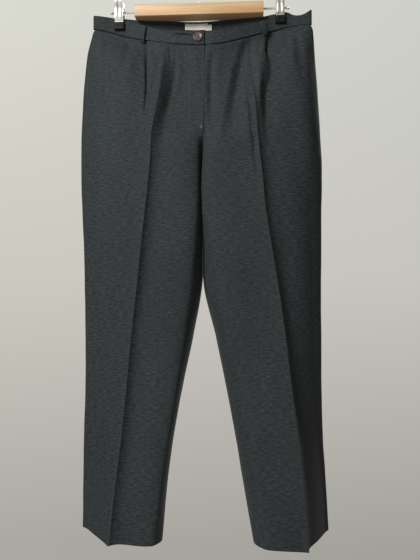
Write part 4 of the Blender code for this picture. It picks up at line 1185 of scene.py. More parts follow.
def cut(piece: bpy.types.Object, tools: Sequence[bpy.types.Object], operation: str = "DIFFERENCE") -> None:
    """Cuts other shapes from a piece, or joins them to it.

    Args:
        piece: The piece.
        tools: The shapes, which are used up.
        operation: DIFFERENCE or UNION.
    """
    for tool in tools:
        worked(piece, "BOOLEAN", operation=operation, object=tool, solver="EXACT")
        bpy.data.objects.remove(tool)


def smoothed(piece: bpy.types.Object, angle: float) -> bpy.types.Object:
    """Shades a piece smooth up to an angle in degrees.

    Args:
        piece: The piece to shade.
        angle: The sharpest bend that stays smooth.

    Returns:
        The same piece.
    """
    alone(piece)
    bpy.ops.object.shade_smooth_by_angle(angle=math.radians(angle))
    return piece


def joined(name: str, pieces: Sequence[bpy.types.Object]) -> bpy.types.Object:
    """Joins pieces into one.

    Args:
        name: The new piece's name.
        pieces: What it is made of.

    Returns:
        The joined piece.
    """
    bpy.ops.object.select_all(action="DESELECT")
    for piece in pieces:
        piece.select_set(True)
    bpy.context.view_layer.objects.active = pieces[0]
    bpy.ops.object.join()
    pieces[0].name = pieces[0].data.name = name
    return pieces[0]


def profile_piece(name: str, points: np.ndarray) -> bpy.types.Object:
    """Starts a piece from one line of points."""
    return meshed(name, points, [(i, i + 1) for i in range(len(points) - 1)], [])


def spun(name: str, points: Sequence[Sequence[float]], centre: Sequence[float], axis: Sequence[float],
         steps: int) -> bpy.types.Object:
    """Turns a line of points into a round body.

    Args:
        name: Its name.
        points: The line, from pole to pole.
        centre: A point on the axis.
        axis: The axis.
        steps: How many steps go round.

    Returns:
        The closed body.
    """
    piece = profile_piece(name, points)
    with editing(piece):
        bpy.ops.mesh.spin(steps=steps, angle=2 * math.pi, center=centre, axis=axis)
    return closed_up(piece, 35)


def wire(name: str, points: Sequence[Sequence[float]], radius: float, sides: int) -> bpy.types.Object:
    """Makes a round wire along a line.

    Args:
        name: Its name.
        points: The line.
        radius: The wire's radius.
        sides: How many sides the wire has.

    Returns:
        The wire, with closed ends.
    """
    curve = bpy.data.curves.new(name, "CURVE")
    curve.dimensions, curve.use_fill_caps = "3D", True
    curve.bevel_depth, curve.bevel_resolution = radius, max(sides // 4 - 1, 0)
    spline = curve.splines.new("POLY")
    spline.points.add(len(points) - 1)
    for point, place in zip(spline.points, points):
        point.co = (*place, 1)
    alone(linked(name, curve))
    bpy.ops.object.convert(target="MESH")
    return closed_up(bpy.context.active_object, 50)


@dataclass
class HangerBar:
    """The wooden bar, with blind bores for the hook and the two rods."""

    length: float = 260 * MM
    height: float = 24 * MM
    depth: float = 32 * MM
    top_drop: float = 71.8 * MM
    rounding: float = 2.2 * MM
    end_rounding: float = 1.2 * MM
    bore: float = 2.3 * MM
    rod_bore_depth: float = 18 * MM
    hook_bore_depth: float = 14 * MM

    def build(self) -> bpy.types.Object:
        """Rounds a plank along its length, eases its ends and bores it.

        Returns:
            The bar.
        """
        half, centre = self.length / 2, (0, 0, -self.top_drop - self.height / 2)
        bar = block("hanger_bar_wood", centre, (self.length, self.depth, self.height))
        for along, rounding, segments in ((True, self.rounding, 5), (False, self.end_rounding, 3)):
            with editing(bar, "DESELECT"):
                mesh = bmesh.from_edit_mesh(bar.data)
                for edge in mesh.edges:
                    a, b = (vert.co for vert in edge.verts)
                    at_end = abs(a.x) > half - 0.1 * MM and abs(a.x - b.x) < MM
                    edge.select = abs(a.x - b.x) > half if along else at_end
                bmesh.update_edit_mesh(bar.data)
                bpy.ops.mesh.bevel(offset=rounding, segments=segments, affect="EDGES")
        hook_place = (0, 0, -self.top_drop)
        bores = [pin("hook_bore", hook_place, self.bore, self.hook_bore_depth * 2, upright=True)]
        for side in Side:
            end = (side.value * half, 0, -ROD_DROP)
            bores.append(pin("rod_bore", end, self.bore, self.rod_bore_depth * 2))
        cut(bar, bores)
        return smoothed(bar, 30)


@dataclass
class HangerRod:
    """One steel rod out of an end of the bar, with its round end knob."""

    side: Side
    radius: float = 1.8 * MM
    inner_end: float = 112.3 * MM
    outer_end: float = 175.85 * MM
    knob: float = 3.2 * MM

    def build(self) -> bpy.types.Object:
        """Turns the rod and its knob in one piece.

        Returns:
            The rod.
        """
        line = [
            (self.inner_end, 0), (self.inner_end, self.radius * 0.8), (self.inner_end + 0.4 * MM, self.radius),
            (self.outer_end - 0.5 * MM, self.radius), (self.outer_end, self.radius * 1.05),
        ]
        line += [
            (self.outer_end + self.knob - self.knob * math.cos(angle), self.knob * math.sin(angle))
            for angle in np.radians(np.linspace(38, 172, 12))
        ]
        line.append((self.outer_end + self.knob * 2, 0))
        points = [(self.side.value * x, 0, -ROD_DROP + r) for x, r in line]
        return spun(f"hanger_rod_{self.side.word}_steel", points, (0, 0, -ROD_DROP), (1, 0, 0), 28)


@dataclass
class HangerHook:
    """The wire hook: a straight neck out of the bar, a bend and a round crown."""

    wire_radius: float = 1.9 * MM
    inner_radius: float = 21 * MM
    foot_drop: float = 81.7 * MM

    def line(self) -> np.ndarray:
        """Lays the wire's middle line.

        Returns:
            Points from the foot in the bar to the tip.
        """
        bend = ((0, 72), (0, 64), (0, 60), (0.5, 56), (1.9, 52.2), (4.3, 48.6), (7.3, 45.6), (10.8, 42.8))
        neck = [(0, self.foot_drop), *((x * MM, drop * MM) for x, drop in bend)]
        radius = self.inner_radius + self.wire_radius
        crown = [
            (radius * math.cos(turn), self.inner_radius - radius * math.sin(turn))
            for turn in np.radians(np.arange(-56, 209, 11))
        ]
        return smooth_rows(np.array([(x, 0, -drop) for x, drop in neck + crown]), 190)

    def build(self) -> bpy.types.Object:
        """Bends the wire and closes its tip with a ball end.

        Returns:
            The hook.
        """
        line = self.line()
        hook = wire("hanger_hook_wire", line, self.wire_radius, 20)
        tip = started(
            "hook_tip", bpy.ops.mesh.primitive_uv_sphere_add, radius=self.wire_radius * 1.02,
            location=tuple(line[-1]), segments=24, ring_count=12,
        )
        cut(hook, [tip], "UNION")
        return smoothed(hook, 40)


@dataclass
class SpringClip:
    """One spring clip on its rod: two pressed jaws, two rubber pads and the coil between them."""

    side: Side
    x: float = 163.4 * MM
    width: float = 20.5 * MM
    pad_height: float = 15.5 * MM
    pad_depth: float = 5.2 * MM
    pad_face: float = 3.15 * MM
    grip: float = 9 * MM
    sheet_steel: float = 1.0 * MM
    jaw_width: float = 17 * MM
    jaw_steps: int = 26
    ear_reach: float = 3.4 * MM
    ear_height: float = 9 * MM
    rod_clear: float = 2.15 * MM
    spring_wire: float = 0.6 * MM
    coil_turns: int = 5

    @property
    def pad_low(self) -> float:
        """The height of the pads' lower edges."""
        return -ROD_DROP - (37.0 if self.side is Side.RIGHT else 32.5) * MM

    def jaw_line(self) -> list[tuple[float, float]]:
        """Lists the jaw's bends as reach from the middle and height."""
        foot, top = self.pad_face + self.pad_depth / 2, self.pad_low + self.pad_height
        bends = [(foot, top - self.grip), (foot, top + 1.5 * MM), (foot + 1.0 * MM, top + 3.6 * MM)]
        rises = ((8.6, -9), (8.6, 5), (12, 17), (13.5, 31))
        return bends + [(reach * MM, -ROD_DROP + rise * MM) for reach, rise in rises]

    def jaw(self, face: Face) -> bpy.types.Object:
        """Bends one jaw from sheet, rounds its thumb end, and presses its ribs.

        Args:
            face: Front or back jaw.

        Returns:
            The jaw.
        """
        facing, middle, half = face.value, self.side.value * self.x, self.jaw_width / 2
        bends = self.jaw_line()
        line = smooth_rows(np.array([(0, facing * y, z) for y, z in bends]), 44)
        name = f"clip_{self.side.word}_{face.word}_jaw_steel"
        plate = profile_piece(name, line + (middle - half, 0, 0))
        with editing(plate):
            for _ in range(self.jaw_steps):
                step = (self.jaw_width / self.jaw_steps, 0, 0)
                bpy.ops.mesh.extrude_region_move(TRANSFORM_OT_translate={"value": step})
            bpy.ops.mesh.select_all(action="SELECT")
            bpy.ops.mesh.normals_make_consistent(inside=False)
        for vert in plate.data.vertices:
            across = (vert.co.x - middle) / half
            near_end = ease((vert.co.z - bends[-1][1] + 9 * MM) / (9 * MM))
            vert.co.x = middle + across * half * (1 - 0.18 * near_end)
            vert.co.z -= near_end * 2.2 * MM * across**4
            vert.co.y += facing * self.pressing(across, vert.co.z)
        worked(plate, "SOLIDIFY", thickness=self.sheet_steel, offset=0.0)
        cut(plate, [self.ear(face, end) for end in (-1, 1)], "UNION")
        cut(plate, [pin("rod_hole", (middle, 0, -ROD_DROP), self.rod_clear, self.width * 2)])
        worked(plate, "BEVEL", width=0.22 * MM, segments=2, limit_method="ANGLE", angle_limit=math.radians(50))
        return smoothed(plate, 40)

    def pressing(self, across: float, height: float) -> float:
        """Tells how far the sheet is pressed outward, in two upright ribs and a rounded slot.

        Args:
            across: From -1 to 1 over the jaw's width.
            height: Height in space.

        Returns:
            The pressed height in metres.
        """
        rise = height + ROD_DROP
        ribs = sum(math.exp(-(((across - side * 0.5) / 0.13) ** 2)) for side in (-1, 1))
        along = ease((rise + 15 * MM) / (4 * MM)) * ease((22 * MM - rise) / (4 * MM))
        beyond = max(abs(rise - 8 * MM) - 8 * MM, 0) / (10 * MM)
        slot = math.exp(-((math.hypot(across * 0.55, beyond) / 0.2) ** 2))
        return (0.7 * float(ribs) * float(along) - 0.5 * slot) * MM

    def ear(self, face: Face, end: int) -> bpy.types.Object:
        """Makes one ear that takes the rod.

        Args:
            face: The jaw that it is on.
            end: -1 or 1 along the rod.

        Returns:
            The ear.
        """
        inset = 0.0 if face is Face.FRONT else 1.4 * MM
        reach = sorted((face.value * 8.7 * MM, -face.value * self.ear_reach))
        x = self.side.value * self.x + end * (self.jaw_width / 2 - 0.6 * MM - inset)
        size = (self.sheet_steel, reach[1] - reach[0], self.ear_height)
        return block("ear", (x, sum(reach) / 2, -ROD_DROP), size)

    def pad(self, face: Face) -> bpy.types.Object:
        """Moulds one rubber pad round its jaw's foot, with a pressed oval and a lower lip.

        Args:
            face: Front or back pad.

        Returns:
            The pad.
        """
        facing, middle, depth, low = face.value, self.side.value * self.x, self.pad_depth, self.pad_low
        foot, outside = facing * (self.pad_face + depth / 2), self.pad_face + depth
        centre, size = (middle, foot, low + self.pad_height / 2), (self.width, depth, self.pad_height)
        pad = block(f"clip_{self.side.word}_{face.word}_pad_rubber", centre, size)
        slot_size = (self.width - 0.6 * MM, self.sheet_steel + 0.6 * MM, 16 * MM)
        slot = block("slot", (middle, foot, low + self.pad_height - self.grip + 7.7 * MM), slot_size)
        emblem = started(
            "oval", bpy.ops.mesh.primitive_uv_sphere_add, radius=1, segments=28, ring_count=14,
            location=(middle, facing * outside, low + 7.6 * MM), scale=(3.0 * MM, 0.45 * MM, 2.2 * MM),
        )
        lip_place = (middle, facing * (outside - 0.25 * MM), low + 1.6 * MM)
        lip = pin("lip", lip_place, 0.7 * MM, self.width - 2.4 * MM, 20)
        worked(pad, "BEVEL", width=0.9 * MM, segments=4)
        cut(pad, [slot, emblem])
        cut(pad, [lip], "UNION")
        return smoothed(pad, 32)

    def spring(self) -> bpy.types.Object:
        """Winds the coil round the rod.

        Returns:
            The spring.
        """
        radius, reach = self.rod_clear + 0.05 * MM + self.spring_wire, 10 * MM
        share = np.linspace(0, 1, self.coil_turns * 22 + 1)
        angle = 2 * math.pi * self.coil_turns * share
        x = self.side.value * self.x + reach * (share - 0.5)
        line = np.stack([x, radius * np.cos(angle), -ROD_DROP + radius * np.sin(angle)], -1)
        return wire(f"clip_{self.side.word}_spring_coil", line, self.spring_wire, 8)


@dataclass
class Button:
    """The four-hole button over the closed band ends, with its thread."""

    band: Waistband
    diameter: float = 18 * MM
    lift: float = 0.4 * MM
    hole: float = 0.85 * MM
    hole_ring: float = 2.1 * MM

    def seat(self) -> Matrix:
        """Finds the button's place on the sloping band.

        Returns:
            The matrix from the button's own frame, with Z outward.
        """
        centre, high, low = (self.band.station(Face.FRONT, 0.0, level) for level in (0.5, 1, 0))
        slope = high - low
        tilt = Matrix.Rotation(math.radians(90) - math.atan2(slope[1], slope[2]), 4, "X")
        lifted = np.array([0, -slope[2], slope[1]]) / np.linalg.norm(slope) * (BAND_WALL / 2 + self.lift)
        return Matrix.Translation(centre + lifted) @ tilt

    def build(self) -> tuple[bpy.types.Object, bpy.types.Object]:
        """Turns the button, drills it and sews it on.

        Returns:
            The button, and its thread.
        """
        radius = self.diameter / 2
        line = [
            (0, 0), (0.78, 0), (0.93, 0.15), (0.99, 0.7), (1.0, 1.3), (0.99, 1.9), (0.95, 2.35), (0.89, 2.58),
            (0.82, 2.6), (0.76, 2.45), (0.7, 2.05), (0.6, 1.8), (0.45, 1.72), (0.2, 1.75), (0, 1.76),
        ]
        button = spun("button_horn", [(r * radius, 0, z * MM) for r, z in line], (0, 0, 0), (0, 0, 1), 56)
        turns = np.radians((45, 135, 225, 315))
        holes = self.hole_ring * np.stack([np.cos(turns), np.sin(turns), 0 * turns], -1)
        cut(button, [pin("hole", tuple(hole), self.hole, 10 * MM, 20, upright=True) for hole in holes])
        share = np.linspace(0, 1, 15)[:, None]
        arch = np.sin(np.pi * share[:, 0]) ** 0.3
        lengths = []
        for first, second in ((0, 1), (3, 2)):
            for aside in (-0.28, 0.0, 0.28):
                line = holes[first] + (holes[second] - holes[first]) * share + (0, aside * MM, 0)
                line[:, 2] = (0.2 + 2.0 * arch) * MM
                lengths.append(wire("stitch", line, 0.17 * MM, 8))
        thread = joined("button_thread", lengths)
        for piece in (button, thread):
            piece.data.transform(self.seat())
        return smoothed(button, 40), thread


@dataclass
class Fly:
    """The fly's hidden underlap and zip, and the curved stitching on the right front."""

    front: FrontPanel
    length_share: float = 0.165
    underlap_sink: float = 4.1 * MM
    zip_sink: float = 2.1 * MM
    tape_sink: float = 2.45 * MM
    coil_radius: float = 0.75 * MM
    coil_wire: float = 0.22 * MM
    coil_pitch: float = 1.3 * MM
    stitch_pitch: float = 2.7 * MM
    stitch_length: float = 2.1 * MM
    thread: float = 0.3 * MM

    def underlap(self) -> bpy.types.Object:
        """Makes the strip of cloth behind the closed zip."""
        grid = self.front.strip((0.83, 0.99), (0.004, self.length_share + 0.018, 60), self.underlap_sink)
        return grid.wall("fly_underlap_cloth", SOLID_WALL, 0.4 * MM)

    def tape(self) -> bpy.types.Object:
        """Makes the zip's woven tape."""
        grid = self.front.strip((0.855, 0.955), (0.008, self.length_share + 0.004, 60), self.tape_sink)
        return grid.wall("zip_tape", 0.5 * MM, 0.2 * MM)

    def coil(self) -> bpy.types.Object:
        """Winds the zip's closed nylon coil down the middle of its tape.

        Returns:
            The coil.
        """
        spots = [self.front.inset_spot(down, 6.2 * MM) for down in np.linspace(0.012, self.length_share, 60)]
        middle = np.array([spot - outward * (self.zip_sink - 0.2 * MM) for spot, outward in spots])
        turns = int(run_along(middle)[-1] / self.coil_pitch)
        share = np.linspace(0, 1, turns * 8 + 1)
        line, angle = read_line(share, np.linspace(0, 1, len(middle)), middle), share * turns * 2 * math.pi
        line[:, 0] += 2.1 * self.coil_radius * np.cos(angle)
        line[:, 1] += self.coil_radius * np.sin(angle)
        return wire("zip_coil", line, self.coil_wire, 4)

    def stitching(self) -> bpy.types.Object:
        """Sews the curved line that holds the fly's facing, its edge, and the tack at its foot.

        Returns:
            The thread.
        """
        curve, edge = np.arange(168, FLY_FOOT, 0.5) * MM, np.arange(166, FLY_FOOT + 4, 1.0) * MM
        ends = []
        for drops, insets in ((curve, fly_inset(curve)), (edge, np.full_like(edge, 1.5 * MM))):
            line = [self.front.thread_spot(drop, inset, 0.02 * MM) for drop, inset in zip(drops, insets)]
            ends += evenly(np.array(line), self.stitch_pitch, self.stitch_length)
        for drop in (FLY_FOOT + 0.6 + 0.42 * np.arange(9)) * MM:
            ends.append([self.front.thread_spot(drop, inset * MM, 0.05 * MM)[:3] for inset in (1.6, 7.2)])
        return stitches("fly_stitching", ends, self.thread)


FLY_FOOT = 327.0  # how far the foot of the fly's stitching hangs, in mm


def fly_inset(drop: Values) -> Values:
    """Tells how far the fly's stitching runs inside its edge."""
    turn = np.clip((drop / MM - (FLY_FOOT - 24)) / 24, 0, 1)
    return 29 * MM * np.sqrt(1 - turn**2.6)


def evenly(line: np.ndarray, pitch: float, length: float) -> list[list[np.ndarray]]:
    """Divides a line into stitches.

    Args:
        line: Points, each followed by its outward direction.
        pitch: From one stitch's start to the next.
        length: Each stitch's length.

    Returns:
        The two ends of each stitch.
    """
    line = line[:, :3]
    run = run_along(line)
    starts = np.arange(0.5 * MM, run[-1] - length, pitch)
    return [[read_line(at, run, line) for at in (start, start + length)] for start in starts]


def stitches(name: str, ends: Sequence[Sequence[np.ndarray]], radius: float) -> bpy.types.Object:
    """Lays short lengths of thread.

    Args:
        name: Its name.
        ends: The two ends of each stitch.
        radius: The thread's radius.

    Returns:
        All the stitches as one piece.
    """
    sides, rings = 6, ((0.0, 0.3), (0.14, 0.9), (0.5, 1.0), (0.86, 0.9), (1.0, 0.3))
    points, faces = [], []
    turns = np.linspace(0, 2 * math.pi, sides, endpoint=False)
    for start, end in ends:
        way = unit(end - start)
        across = unit(np.cross(way, (0.0, 1.0, 0.05)))
        ring = np.outer(np.cos(turns), across) + np.outer(np.sin(turns), np.cross(across, way))
        loops = np.arange(len(rings) * sides).reshape(-1, sides) + len(points)
        for share, width in rings:
            points += (start + (end - start) * share + ring * radius * width).tolist()
        for low, high in zip(loops, loops[1:]):
            faces += np.stack([low, np.roll(low, -1), np.roll(high, -1), high], -1).tolist()
        faces += [loops[-1].tolist(), loops[0, ::-1].tolist()]
    return closed_up(meshed(name, points, [], faces), 60)


@dataclass
class SeatSeam:
    """The overlocked seam between the legs, from the fly's foot under the crotch to the waist at the back."""

    fronts: dict[Side, FrontPanel]
    backs: dict[Side, BackPanel]
    radius: float = 1.7 * MM
    sink: float = 1.4 * MM

    def middle(self, face: Face, down: float) -> list[float]:
        """Finds the seam's middle between the two legs.

        Args:
            face: Front or back.
            down: The share of the way down.

        Returns:
            A point just inside the cloth.
        """
        panels = (self.fronts if face is Face.FRONT else self.backs).values()
        ends = np.mean([[*panel.row(down)[0][-1], -panel.drops(down)[-1]] for panel in panels], axis=0)
        return [ends[0], ends[1] - face.value * self.sink, ends[2]]

    def build(self) -> bpy.types.Object:
        """Winds the overlocking along the seam.

        Returns:
            The seam.
        """
        line = [self.middle(Face.FRONT, down) for down in np.arange(0.165, 0.282, 0.006)]
        line += [self.middle(Face.BACK, down) for down in np.arange(0.282, 0.002, -0.01)]
        return wire("seat_seam_overlock", line, self.radius, 12)


@dataclass
class SidePocket:
    """The pocket in a side seam: its facing behind the front, and the tacks at its ends."""

    front: FrontPanel
    mouth: tuple[float, float] = (163.0, 322.0)
    tack_inset: float = 2 * MM
    tack_width: float = 7 * MM
    thread: float = 0.24 * MM

    def facing(self) -> bpy.types.Object:
        """Makes the facing behind the mouth."""
        grid = self.front.strip((0.03, 0.11), (0.026, 0.168, 70), SOLID_WALL + SEAM_GAP)
        return grid.wall(f"pocket_facing_{self.front.side.word}_cloth", SOLID_WALL, 0.4 * MM)

    def tacks(self) -> bpy.types.Object:
        """Sews a dense little bar across each end of the mouth.

        Returns:
            The thread.
        """
        insets, ends = (self.tack_inset, self.tack_inset + self.tack_width), []
        for drop in (mouth + 0.42 * k for mouth in self.mouth for k in range(8)):
            ends.append([self.front.thread_spot(drop * MM, inset, 0.05 * MM, True)[:3] for inset in insets])
        return stitches(f"pocket_tacks_{self.front.side.word}", ends, self.thread)


@dataclass
class Welt:
    """The jetted pocket on a back: two narrow lips with the slit between them."""

    back: BackPanel
    across: tuple[float, float] = (0.16, 0.66)
    drops: tuple[float, float] = (187.0, 198.0)
    rows: int = 26
    raised: float = 0.75 * MM
    wall: float = 1.3 * MM

    def build(self) -> bpy.types.Object:
        """Makes both lips as one folded strip.

        Returns:
            The piece.
        """
        high, low = (self.back.down_at(drop * MM, column=30) for drop in self.drops)
        grid = self.back.strip(self.across, (high, low, self.rows), -self.raised)
        place = np.linspace(-1, 1, self.rows)[:, None]
        slit, lips = np.exp(-(place / 0.11) ** 2) * 0.75 * MM, np.cos(place * 2 * math.pi) * 0.18 * MM
        ends = np.clip(grid.rim() / (5 * MM), 0, 1)
        grid.points = grid.points - grid.outward * ((slit + lips) * ends)[..., None]
        return grid.wall(f"back_welt_{self.back.side.word}", self.wall, 0.6 * MM)


class Nodes:
    """Writes one material's node tree."""

    def __init__(self, name: str) -> None:
        """Starts the tree with its surface shader.

        Args:
            name: The material's name.
        """
        self.material = bpy.data.materials.new(name)
        self.material.use_nodes = True
        self.tree = self.material.node_tree
        self.shader = self.tree.nodes["Principled BSDF"]

    def feed(self, inputs: bpy.types.NodeInputs, values: dict[str | int, object]) -> None:
        """Fills a node's inputs.

        Args:
            inputs: The inputs.
            values: What goes into each: a socket or a value.
        """
        for key, value in values.items():
            if isinstance(value, bpy.types.NodeSocket):
                self.tree.links.new(value, inputs[key])
            else:
                inputs[key].default_value = value

    def add(self, kind: str, inputs: dict[str | int, object], **settings: object) -> bpy.types.Node:
        """Adds a node.

        Args:
            kind: The node's type, without "ShaderNode".
            inputs: What goes into each input.
            settings: The node's own settings.

        Returns:
            The node.
        """
        node = self.tree.nodes.new("ShaderNode" + kind)
        for key, value in settings.items():
            setattr(node, key, value)
        self.feed(node.inputs, inputs)
        return node

    def place(self, scale: tuple[float, float, float], on_weave: bool) -> bpy.types.NodeSocket:
        """Reads the place on the cloth's own map or in the object, stretched."""
        source = self.add("UVMap", {}, uv_map=WEAVE_MAP) if on_weave else self.add("TexCoord", {})
        place = source.outputs["UV" if on_weave else "Object"]
        return self.add("Mapping", {"Vector": place, "Scale": scale}).outputs["Vector"]

    def noise(self, scale: tuple[float, float, float], on_weave: bool = False, detail: float = 2.0,
              distortion: float = 0.0) -> bpy.types.NodeSocket:
        """Adds a noise pattern, its fineness given per metre each way."""
        inputs = {"Scale": 1.0, "Detail": detail, "Distortion": distortion}
        return self.add("TexNoise", {"Vector": self.place(scale, on_weave), **inputs}).outputs["Fac"]

    def span(self, value: bpy.types.NodeSocket, source: tuple[float, float],
             target: tuple[float, float] = (0.0, 1.0)) -> bpy.types.NodeSocket:
        """Stretches a value from one range to another."""
        inputs = {"Value": value, 1: source[0], 2: source[1], 3: target[0], 4: target[1]}
        return self.add("MapRange", inputs).outputs["Result"]

    def blend(self, share: bpy.types.NodeSocket, first: object, second: object) -> bpy.types.NodeSocket:
        """Blends two colours or sockets, with a share of the second."""
        first, second = ((*colour, 1.0) if isinstance(colour, tuple) else colour for colour in (first, second))
        return self.add("Mix", {0: share, 6: first, 7: second}, data_type="RGBA").outputs[2]

    def sum(self, first: bpy.types.NodeSocket, second: bpy.types.NodeSocket,
            weight: float) -> bpy.types.NodeSocket:
        """Adds a weighted value to another."""
        return self.add("Math", {0: second, 1: weight, 2: first}, operation="MULTIPLY_ADD").outputs[0]

    def bump(self, height: bpy.types.NodeSocket, strength: float, distance: float) -> None:
        """Roughens the surface by a height."""
        node = self.add("Bump", {"Height": height, "Strength": strength, "Distance": distance})
        self.tree.links.new(node.outputs["Normal"], self.shader.inputs["Normal"])

    def set(self, **values: object) -> None:
        """Fills the shader's sockets, named with _ for a space."""
        self.feed(self.shader.inputs, {key.replace("_", " "): value for key, value in values.items()})


@dataclass(frozen=True)
class Finish:
    """A surface finish, which its own material draws."""

    name: str
    slot: str

    def draw(self, nodes: Nodes) -> None:
        """Draws the finish; each kind has its own."""

    def dress(self, piece: bpy.types.Object, *replaced: str) -> bpy.types.Object:
        """Gives a piece this finish, and hands it to the frame.

        Args:
            piece: The piece.
            replaced: The nodes that it stands for.

        Returns:
            The same piece.
        """
        if self.name not in bpy.data.materials:
            self.draw(Nodes(self.name))
        piece.data.materials.clear()
        piece.data.materials.append(bpy.data.materials[self.name])
        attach(piece, "root")
        if replaced:
            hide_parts(*replaced)
        LOG.info("%s: %d faces, %s", piece.name, len(piece.data.polygons), self.name)
        return piece


@dataclass(frozen=True)
class SlubCloth(Finish):
    """Dark suiting with slubs along the weft, pale flecks, a painted highlight on its creases and a soft nap.
    """

    name: str = "slate_suiting"
    slot: str = "cloth"
    dark: Colour = (0.0112, 0.0160, 0.0184)
    light: Colour = (0.0365, 0.0452, 0.0488)
    # The colour of the pale flecks, and also of the painted highlight along the creases.
    fleck_and_highlight: Colour = (0.095, 0.102, 0.100)

    def draw(self, nodes: Nodes) -> None:
        """Draws slubs, flecks, slow unevenness, a painted highlight along the crease lines and the weave.

        Args:
            nodes: The material's tree.
        """
        slubs = nodes.noise((88, 420, 1), True, 3.0)
        threads = nodes.noise((280, 1200, 1), True, 1.0)
        grain = nodes.noise((520, 760, 1), True, 2.0)
        mixed = nodes.sum(nodes.sum(slubs, threads, 0.35), grain, 0.6)
        colour = nodes.blend(nodes.span(mixed, (0.83, 1.12)), self.dark, self.light)
        flecks = nodes.span(nodes.noise((110, 430, 1), True, 3.0), (0.66, 0.73), (0.0, 0.8))
        colour = nodes.blend(flecks, colour, self.fleck_and_highlight)
        # Painted highlight: a pale line is blended into the colour where the run across the cloth is near 0,
        # which on the leg panels is the pressed crease; patchy sets its strength.
        pressed = nodes.add("SeparateXYZ", {"Vector": nodes.place((1, 1, 1), True)}).outputs["X"]
        pressed = nodes.add("Math", {0: pressed}, operation="ABSOLUTE").outputs[0]
        patchy = nodes.span(nodes.noise((30, 60, 1), True, 2.0), (0.3, 0.7), (0.0, 0.2))
        pressed = nodes.span(pressed, (0.0004, 0.0013), (1.0, 0.0))
        painted_crease_highlight = nodes.add("Math", {0: pressed, 1: patchy}, operation="MULTIPLY").outputs[0]
        colour = nodes.blend(painted_crease_highlight, colour, self.fleck_and_highlight)
        slow = nodes.span(nodes.noise((8, 6, 1), True, 2.0), (0.3, 0.7), (0.0, 0.13))
        colour = nodes.blend(slow, colour, (0.0, 0.0, 0.0))
        weave = nodes.noise((1700, 1900, 1), True, 0.0)
        nodes.bump(nodes.sum(nodes.sum(weave, slubs, 0.9), threads, 0.7), 0.35, 0.35 * MM)
        nodes.set(Base_Color=colour, Roughness=nodes.span(slubs, (0.3, 0.7), (0.72, 0.86)))
        nodes.set(Sheen_Weight=0.06, Sheen_Roughness=0.45, Specular_IOR_Level=0.25)


@dataclass(frozen=True)
class Thread(Finish):
    """Twisted sewing thread, a little glossier than the cloth."""

    name: str = "slate_thread"
    slot: str = "cloth"
    colour: Colour = (0.062, 0.072, 0.075)

    def draw(self, nodes: Nodes) -> None:
        """Draws the twist.

        Args:
            nodes: The material's tree.
        """
        twist = nodes.noise((900, 900, 2600), False, 1.0)
        colour = nodes.blend(nodes.span(twist, (0.35, 0.65)), self.colour, tuple(c * 1.5 for c in self.colour))
        nodes.bump(twist, 0.3, 0.1 * MM)
        nodes.set(Base_Color=colour, Roughness=0.55, Sheen_Weight=0.1)


@dataclass(frozen=True)
class WovenLabel(Finish):
    """Off-white satin label weave."""

    name: str = "label_satin"
    slot: str = "label"
    colour: Colour = (0.88, 0.85, 0.77)
    shade: Colour = (0.74, 0.71, 0.63)

    def draw(self, nodes: Nodes) -> None:
        """Draws fine ribs and a slight soiling.

        Args:
            nodes: The material's tree.
        """
        ribs = nodes.noise((420, 3400, 1), True, 1.0)
        soil = nodes.noise((70, 90, 1), True, 3.0)
        colour = nodes.blend(nodes.span(nodes.sum(soil, ribs, 0.4), (0.5, 0.95)), self.colour, self.shade)
        nodes.bump(ribs, 0.35, 0.15 * MM)
        nodes.set(Base_Color=colour, Roughness=0.6, Sheen_Weight=0.1)


@dataclass(frozen=True)
class Horn(Finish):
    """Polished rosy-brown button material with cloudy streaks."""

    name: str = "button_horn_brown"
    slot: str = "button"
    dark: Colour = (0.055, 0.034, 0.030)
    light: Colour = (0.145, 0.094, 0.082)

    def draw(self, nodes: Nodes) -> None:
        """Draws the cloudy streaks and fine scuffs.

        Args:
            nodes: The material's tree.
        """
        clouds = nodes.noise((240, 420, 130), False, 3.0, 1.6)
        colour = nodes.blend(nodes.span(clouds, (0.32, 0.68)), self.dark, self.light)
        scuffs = nodes.noise((2600, 900, 2600), False, 2.0)
        nodes.bump(scuffs, 0.12, 0.05 * MM)
        nodes.set(Base_Color=colour, Roughness=nodes.span(scuffs, (0.3, 0.7), (0.28, 0.46)))
        nodes.set(Coat_Weight=0.25, Coat_Roughness=0.25)


@dataclass(frozen=True)
class HoneyWood(Finish):
    """Varnished pale hardwood, its grain along the bar."""

    name: str = "honey_wood"
    slot: str = "wood"
    pale: Colour = (0.68, 0.475, 0.265)
    deep: Colour = (0.50, 0.30, 0.14)
    pore: Colour = (0.33, 0.185, 0.085)

    def draw(self, nodes: Nodes) -> None:
        """Draws broad figure, fine grain and pores.

        Args:
            nodes: The material's tree.
        """
        figure = nodes.noise((5, 70, 95), False, 3.0, 0.8)
        grain = nodes.noise((11, 620, 700), False, 4.0)
        pores = nodes.noise((55, 1500, 1700), False, 1.0)
        colour = nodes.blend(nodes.span(nodes.sum(figure, grain, 0.55), (0.52, 1.0)), self.pale, self.deep)
        colour = nodes.blend(nodes.span(pores, (0.66, 0.76), (0.0, 0.35)), colour, self.pore)
        nodes.bump(nodes.sum(grain, pores, -0.5), 0.12, 0.12 * MM)
        nodes.set(Base_Color=colour, Roughness=nodes.span(grain, (0.3, 0.7), (0.46, 0.62)))
        nodes.set(Coat_Weight=0.12, Coat_Roughness=0.4)


